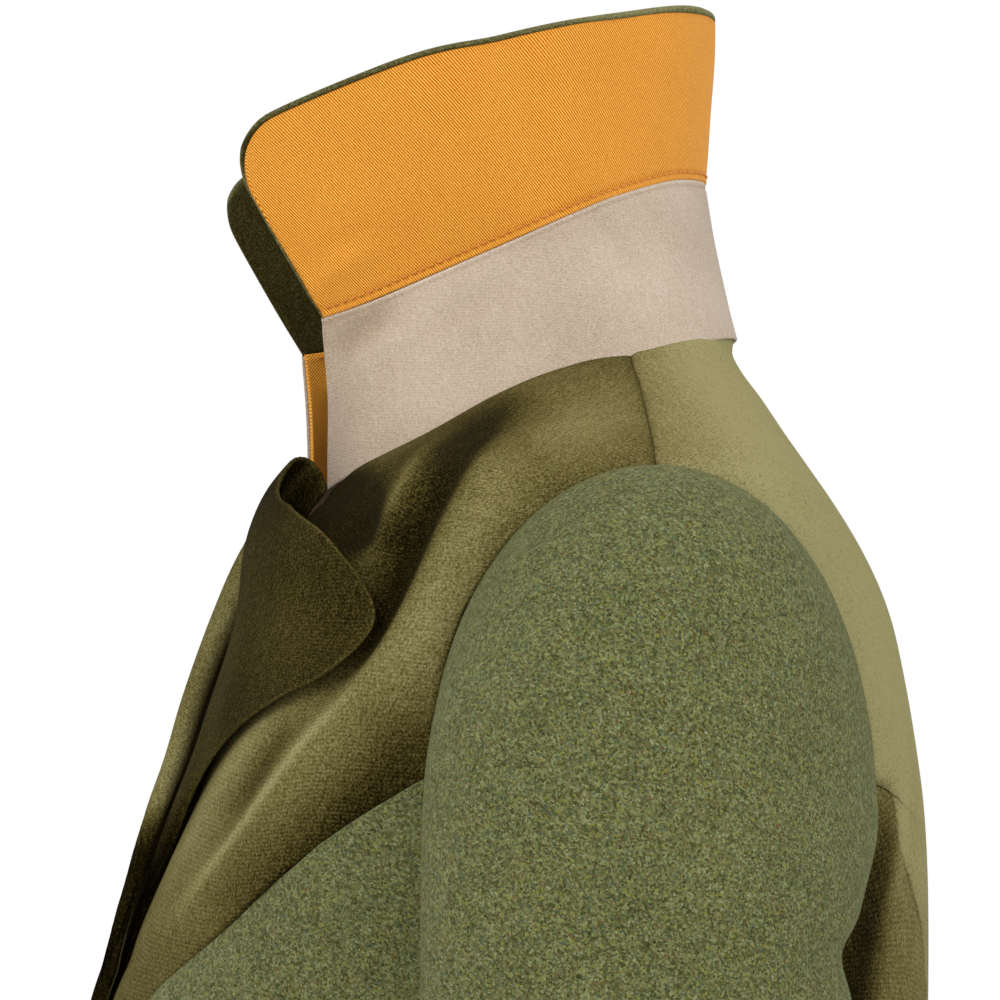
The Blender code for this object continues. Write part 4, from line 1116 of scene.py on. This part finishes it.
# ---------------------------------------------------------------------------------------
# Sleeves: two pieces of the same tweed each, set into the armhole with a little fullness at
# the top and hanging forward from the elbow.
# ---------------------------------------------------------------------------------------
ARM_RINGS = [            # height, centre x, centre y, half across, half depth, tilt
    (-0.235, 0.2215, -0.0120, 0.0480, 0.0665, 0.00),
    (-0.300, 0.2260, -0.0085, 0.0465, 0.0655, 0.05),
    (-0.360, 0.2300, -0.0060, 0.0450, 0.0630, 0.12),
    (-0.430, 0.2350, -0.0190, 0.0425, 0.0570, 0.20),
    (-0.500, 0.2410, -0.0360, 0.0400, 0.0510, 0.25),
    (-0.560, 0.2480, -0.0540, 0.0380, 0.0475, 0.30),
    (-0.625, 0.2560, -0.0750, 0.0360, 0.0450, 0.32),
]
SLEEVE_FOLDS = [         # points (y, z), height, width on each flank
    ([(0.096, -0.187), (0.080, -0.200), (0.060, -0.206), (0.034, -0.207)], -0.0046, 0.010, 0.008),
    ([(0.092, -0.222), (0.078, -0.224), (0.056, -0.220)], 0.0030, 0.008, 0.011),
    ([(0.084, -0.120), (0.083, -0.140), (0.080, -0.160)], -0.0014, 0.010, 0.010),
    ([(0.076, -0.160), (0.046, -0.172), (0.016, -0.176)], 0.0012, 0.012, 0.012),
    ([(0.080, -0.330), (0.044, -0.342), (0.004, -0.338)], -0.0038, 0.008, 0.010),
    ([(0.078, -0.352), (0.042, -0.362), (0.000, -0.356)], 0.0034, 0.009, 0.008),
    ([(-0.074, -0.350), (-0.050, -0.366), (-0.020, -0.376)], -0.0040, 0.009, 0.010),
    ([(-0.078, -0.372), (-0.052, -0.388), (-0.022, -0.394)], 0.0028, 0.010, 0.009),
    ([(0.058, -0.420), (0.020, -0.424), (-0.016, -0.414)], -0.0026, 0.009, 0.012),
    ([(-0.096, -0.520), (-0.066, -0.528), (-0.038, -0.524)], -0.0024, 0.010, 0.012),
    ([(0.010, -0.556), (-0.020, -0.566), (-0.054, -0.562)], 0.0018, 0.011, 0.010),
]
SET_IN = 0.0030          # how far the head of the sleeve sits inside the armhole
HEAD_FADE = 0.12         # part of the cap over which the folds come in
AROUND_STEP, DOWN_STEP = 0.5, 0.02        # steps to each side for a tangent of the sleeve


def sleeve_face(around, down):
    """Sleeve's outer face: `around` the arm, `down` 0 armhole, 1 first ring, 2 cuff. The cap
    is a cubic from the armhole to the first ring, the tube follows the rings."""
    angle = np.radians(around)
    at = armhole(around)
    start = cloth(at[..., 0], at[..., 1], 0.0, 1)
    low = np.clip(-np.cos(angle), 0, 1)[..., None]
    rear = np.clip(np.sin(angle), 0, 1)[..., None] ** 2
    away = unit((1 - low) * (np.array([1.0, 0, -0.30])
                             + (0.35 - 0.25 * rear) * outward(at[..., 0], at[..., 1]))
                + low * np.array([0.45, 0, -0.9]))

    def arm(height):
        x, y, across, depth, tilt = table(ARM_RINGS, height)
        return np.stack([x + across * np.cos(angle), y + depth * np.sin(angle),
                         height + tilt * depth * -np.sin(angle)], -1)

    first, cuff = ARM_RINGS[0][0], ARM_RINGS[-1][0]
    ring = arm(np.full(angle.shape, first))
    length = np.linalg.norm(ring - start, axis=-1, keepdims=True)
    f = np.clip(down, 0, 1)[..., None]
    start = start - away * SET_IN
    begin = away * length * (1.25 - 0.25 * rear)
    finish = np.array([0.06, 0.01, -1.0]) * length * 1.1
    rise = ring - start
    cap = start + f * begin + f * f * (3 * rise - 2 * begin - finish) \
        + f ** 3 * (begin + finish - 2 * rise)
    tube = arm(first + (cuff - first) * np.clip(down - 1, 0, 1))
    return np.where(down[..., None] <= 1, cap, tube)


def sleeve_piece(hand, part, first, last, side, seed):
    """One cut piece of a sleeve, between two angles round the arm."""
    around, down = np.meshgrid(first + (last - first) * spread((1.0, 76 if last < 130 else 44)),
                               2 * spread((0.5, 58), (1.0, 66)))
    face = sleeve_face(around, down)
    round_way = sleeve_face(around + AROUND_STEP, down) - sleeve_face(around - AROUND_STEP, down)
    down_way = sleeve_face(around, np.clip(down + DOWN_STEP, 0, 2)) \
        - sleeve_face(around, np.clip(down - DOWN_STEP, 0, 2))
    normal = unit(np.cross(down_way, round_way))
    crease = folds_in(face[..., 1:], SLEEVE_FOLDS)
    ease = np.cos(np.radians(around)).clip(0) * np.exp(-((down - 0.10) / 0.10) ** 2)
    crease = crease + 0.0006 * ease * waver(face, 0.018, seed + 1) \
        + 0.0009 * waver(face * (side, 1, 1), 0.090, seed)
    crease = crease * np.clip(down / HEAD_FADE, 0, 1)
    over, under = rolled(face, seed, free=("top", "bottom"))
    outer = face + normal * (crease + over)[..., None]
    inner = face + normal * (crease + under - WALL)[..., None]
    # Painted light on the ridges of the sleeve's folds and painted shade in their troughs.
    tone = np.clip(0.35 + 30 * crease, 0, 1)
    outer, inner = (trim(grid, GAP) * (side, 1, 1) for grid in (outer, inner))
    name = "sleeve_%s_%s" % (part, hand)
    piece = shell("tweed_" + name, outer, inner, [green_tweed, olive_lining], tone,
                  flip=side > 0)
    sewn(piece, name)


for side, hand in ((1, "left"), (-1, "right")):
    sleeve_piece(hand, "upper", -120, 120, side, 71 + side)
    sleeve_piece(hand, "under", 120, 240, side, 75 + side)

# ---------------------------------------------------------------------------------------
# Buttons: three domed moulds covered in the tweed, sewn to the right front on a short
# thread stem.
# ---------------------------------------------------------------------------------------
BUTTON_HEIGHTS = (-0.290, -0.324, -0.358)
BUTTON_RADIUS, BUTTON_DOME, BUTTON_EDGE, BUTTON_STAND = 0.0110, 0.0030, 0.0022, 0.0010


def covered_button(name, height):
    """Turned profile carried round the button's axis: a stem, a flat back, a round edge and a
    low dome, with the cover gathered in small pleats at the back."""
    lapped = lap(np.array(0.0), height, -1)
    foot = cloth(0.0, height, BUTTON_STAND, -1, lapped)
    normal = unit(cloth(0.0, height, BUTTON_STAND + 0.01, -1, lapped) - foot)
    side_way = np.array([1.0, 0, 0])
    up_way = np.cross(normal, side_way)
    bend = np.linspace(0, np.pi / 2, 15)
    edge_bend = np.linspace(-np.pi / 2, 0, 7)
    half = BUTTON_EDGE / 2
    radii = np.concatenate([[0.0, 0.0016, 0.0018, 0.0030],
                            BUTTON_RADIUS - half + half * np.cos(edge_bend),
                            BUTTON_RADIUS * np.cos(bend[1:-1]) ** 0.9, [0.0]])
    rise = np.concatenate([[-BUTTON_STAND, -BUTTON_STAND, 0.0, 0.0],
                           half + half * np.sin(edge_bend),
                           half + (BUTTON_DOME + half) * np.sin(bend[1:-1]),
                           [BUTTON_DOME + 2 * half]])
    angle = np.linspace(0, 2 * np.pi, 64, endpoint=False)
    pleat = 0.00018 * np.sin(16 * angle)[None, :] * np.clip(1 - rise / half, 0, 1)[:, None] \
        * (radii > 0.004)[:, None]
    grid = foot + normal * rise[:, None, None] + (radii[:, None] + pleat)[..., None] \
        * (side_way * np.cos(angle)[:, None] + up_way * np.sin(angle)[:, None])
    rows, columns = grid.shape[:2]
    index = np.arange(1, 1 + (rows - 2) * columns).reshape(rows - 2, columns)
    after = np.roll(index, -1, axis=1)
    last = 1 + (rows - 2) * columns
    walls = np.stack([index[:-1], after[:-1], after[1:], index[1:]], -1).reshape(-1, 4)
    caps = [(0, int(b), int(a)) for a, b in zip(index[0], after[0])] \
        + [(last, int(a), int(b)) for a, b in zip(index[-1], after[-1])]
    points = np.concatenate([grid[0, :1], grid[1:-1].reshape(-1, 3), grid[-1, :1]])
    mesh = bpy.data.meshes.new("covered_" + name)
    mesh.from_pydata(points.tolist(), [], walls.tolist() + caps)
    mesh.shade_smooth()
    mesh.materials.append(green_tweed)
    mesh.attributes.new("painted_shading", "FLOAT", "POINT").data.foreach_set(
        "value", np.full(len(points), 0.4, np.float32))
    piece = linked("covered_" + name, mesh)
    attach(piece, "root")
    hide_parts(name)


for number, height in enumerate(BUTTON_HEIGHTS, 1):
    covered_button("front_button_%d" % number, height)

# ---------------------------------------------------------------------------------------
# Stage: pale floor under the hem, white surroundings, three large soft lamps, and a long
# lens a little below the collar, looking up at the coat's left side.
# ---------------------------------------------------------------------------------------
FLOOR = HEM - 0.012
floor_mesh = bpy.data.meshes.new("floor")
floor_mesh.from_pydata([(-6, -6, FLOOR), (6, -6, FLOOR), (6, 6, FLOOR), (-6, 6, FLOOR)], [],
                       [(0, 1, 2, 3)])
pale_floor, tree, shader = surface("pale_floor", 0.8, 0.3)
grain = noise(tree, node(tree, "TexCoord").outputs["Object"], 6, 3.0)
colour_by(tree, shader, grain, [(0.0, (0.78, 0.77, 0.75)), (1.0, (0.82, 0.81, 0.79))])
floor_mesh.materials.append(pale_floor)
linked("floor", floor_mesh)

world = bpy.data.worlds.new("studio")
world.use_nodes = True
tree = world.node_tree
seen = node(tree, "LightPath").outputs["Is Camera Ray"]
strength = node(tree, "MapRange", {"Value": seen, "To Min": 0.70, "To Max": 1.0}).outputs[0]
background = tree.nodes["Background"]
background.inputs["Color"].default_value = (1.0, 1.0, 1.0, 1)
tree.links.new(strength, background.inputs["Strength"])
bpy.context.scene.world = world
bpy.context.scene.view_settings.view_transform = "Standard"


def lamp(name, place, aim, size, watts, colour=(1.0, 1.0, 1.0)):
    """Square soft lamp at a place, turned to face a point."""
    data = bpy.data.lights.new(name, "AREA")
    data.shape, data.size, data.energy, data.color = "SQUARE", size, watts, colour
    face = unit(np.array(place) - np.array(aim))
    side_way = unit(np.cross((0, 0, 1), face))
    turn = np.stack([side_way, np.cross(face, side_way), face], -1)
    linked(name, data).matrix_world = facing(turn, place)


lamp("key", (1.7, -1.3, 1.5), (0, 0, -0.1), 1.4, 26.0, (1.0, 0.98, 0.95))
lamp("rear", (0.9, 2.2, 1.0), (0, 0, -0.15), 1.6, 20.0)
lamp("fill", (2.9, -0.5, -0.7), (0, 0, -0.15), 1.8, 18.0)

AZIMUTH, ELEVATION = 86.0, -6.0          # degrees
DISTANCE, FRAME = 2.3, 0.3448            # to the coat's middle, and the width seen there
AIM = np.array([-0.00704, -0.03842, -0.04134])
a, e = np.radians(AZIMUTH), np.radians(ELEVATION)
backward = np.array([np.sin(a) * np.cos(e), -np.cos(a) * np.cos(e), np.sin(e)])
right = np.array([np.cos(a), np.sin(a), 0.0])
turn = np.stack([right, np.cross(backward, right), backward], -1)
camera_data = bpy.data.cameras.new("camera")
camera_data.sensor_width = 36.0
camera_data.lens = 36.0 * DISTANCE / FRAME
camera_data.clip_start, camera_data.clip_end = 0.05, 60.0
camera = linked("camera", camera_data)
camera.matrix_world = facing(turn, AIM + backward * DISTANCE)
bpy.context.scene.camera = camera
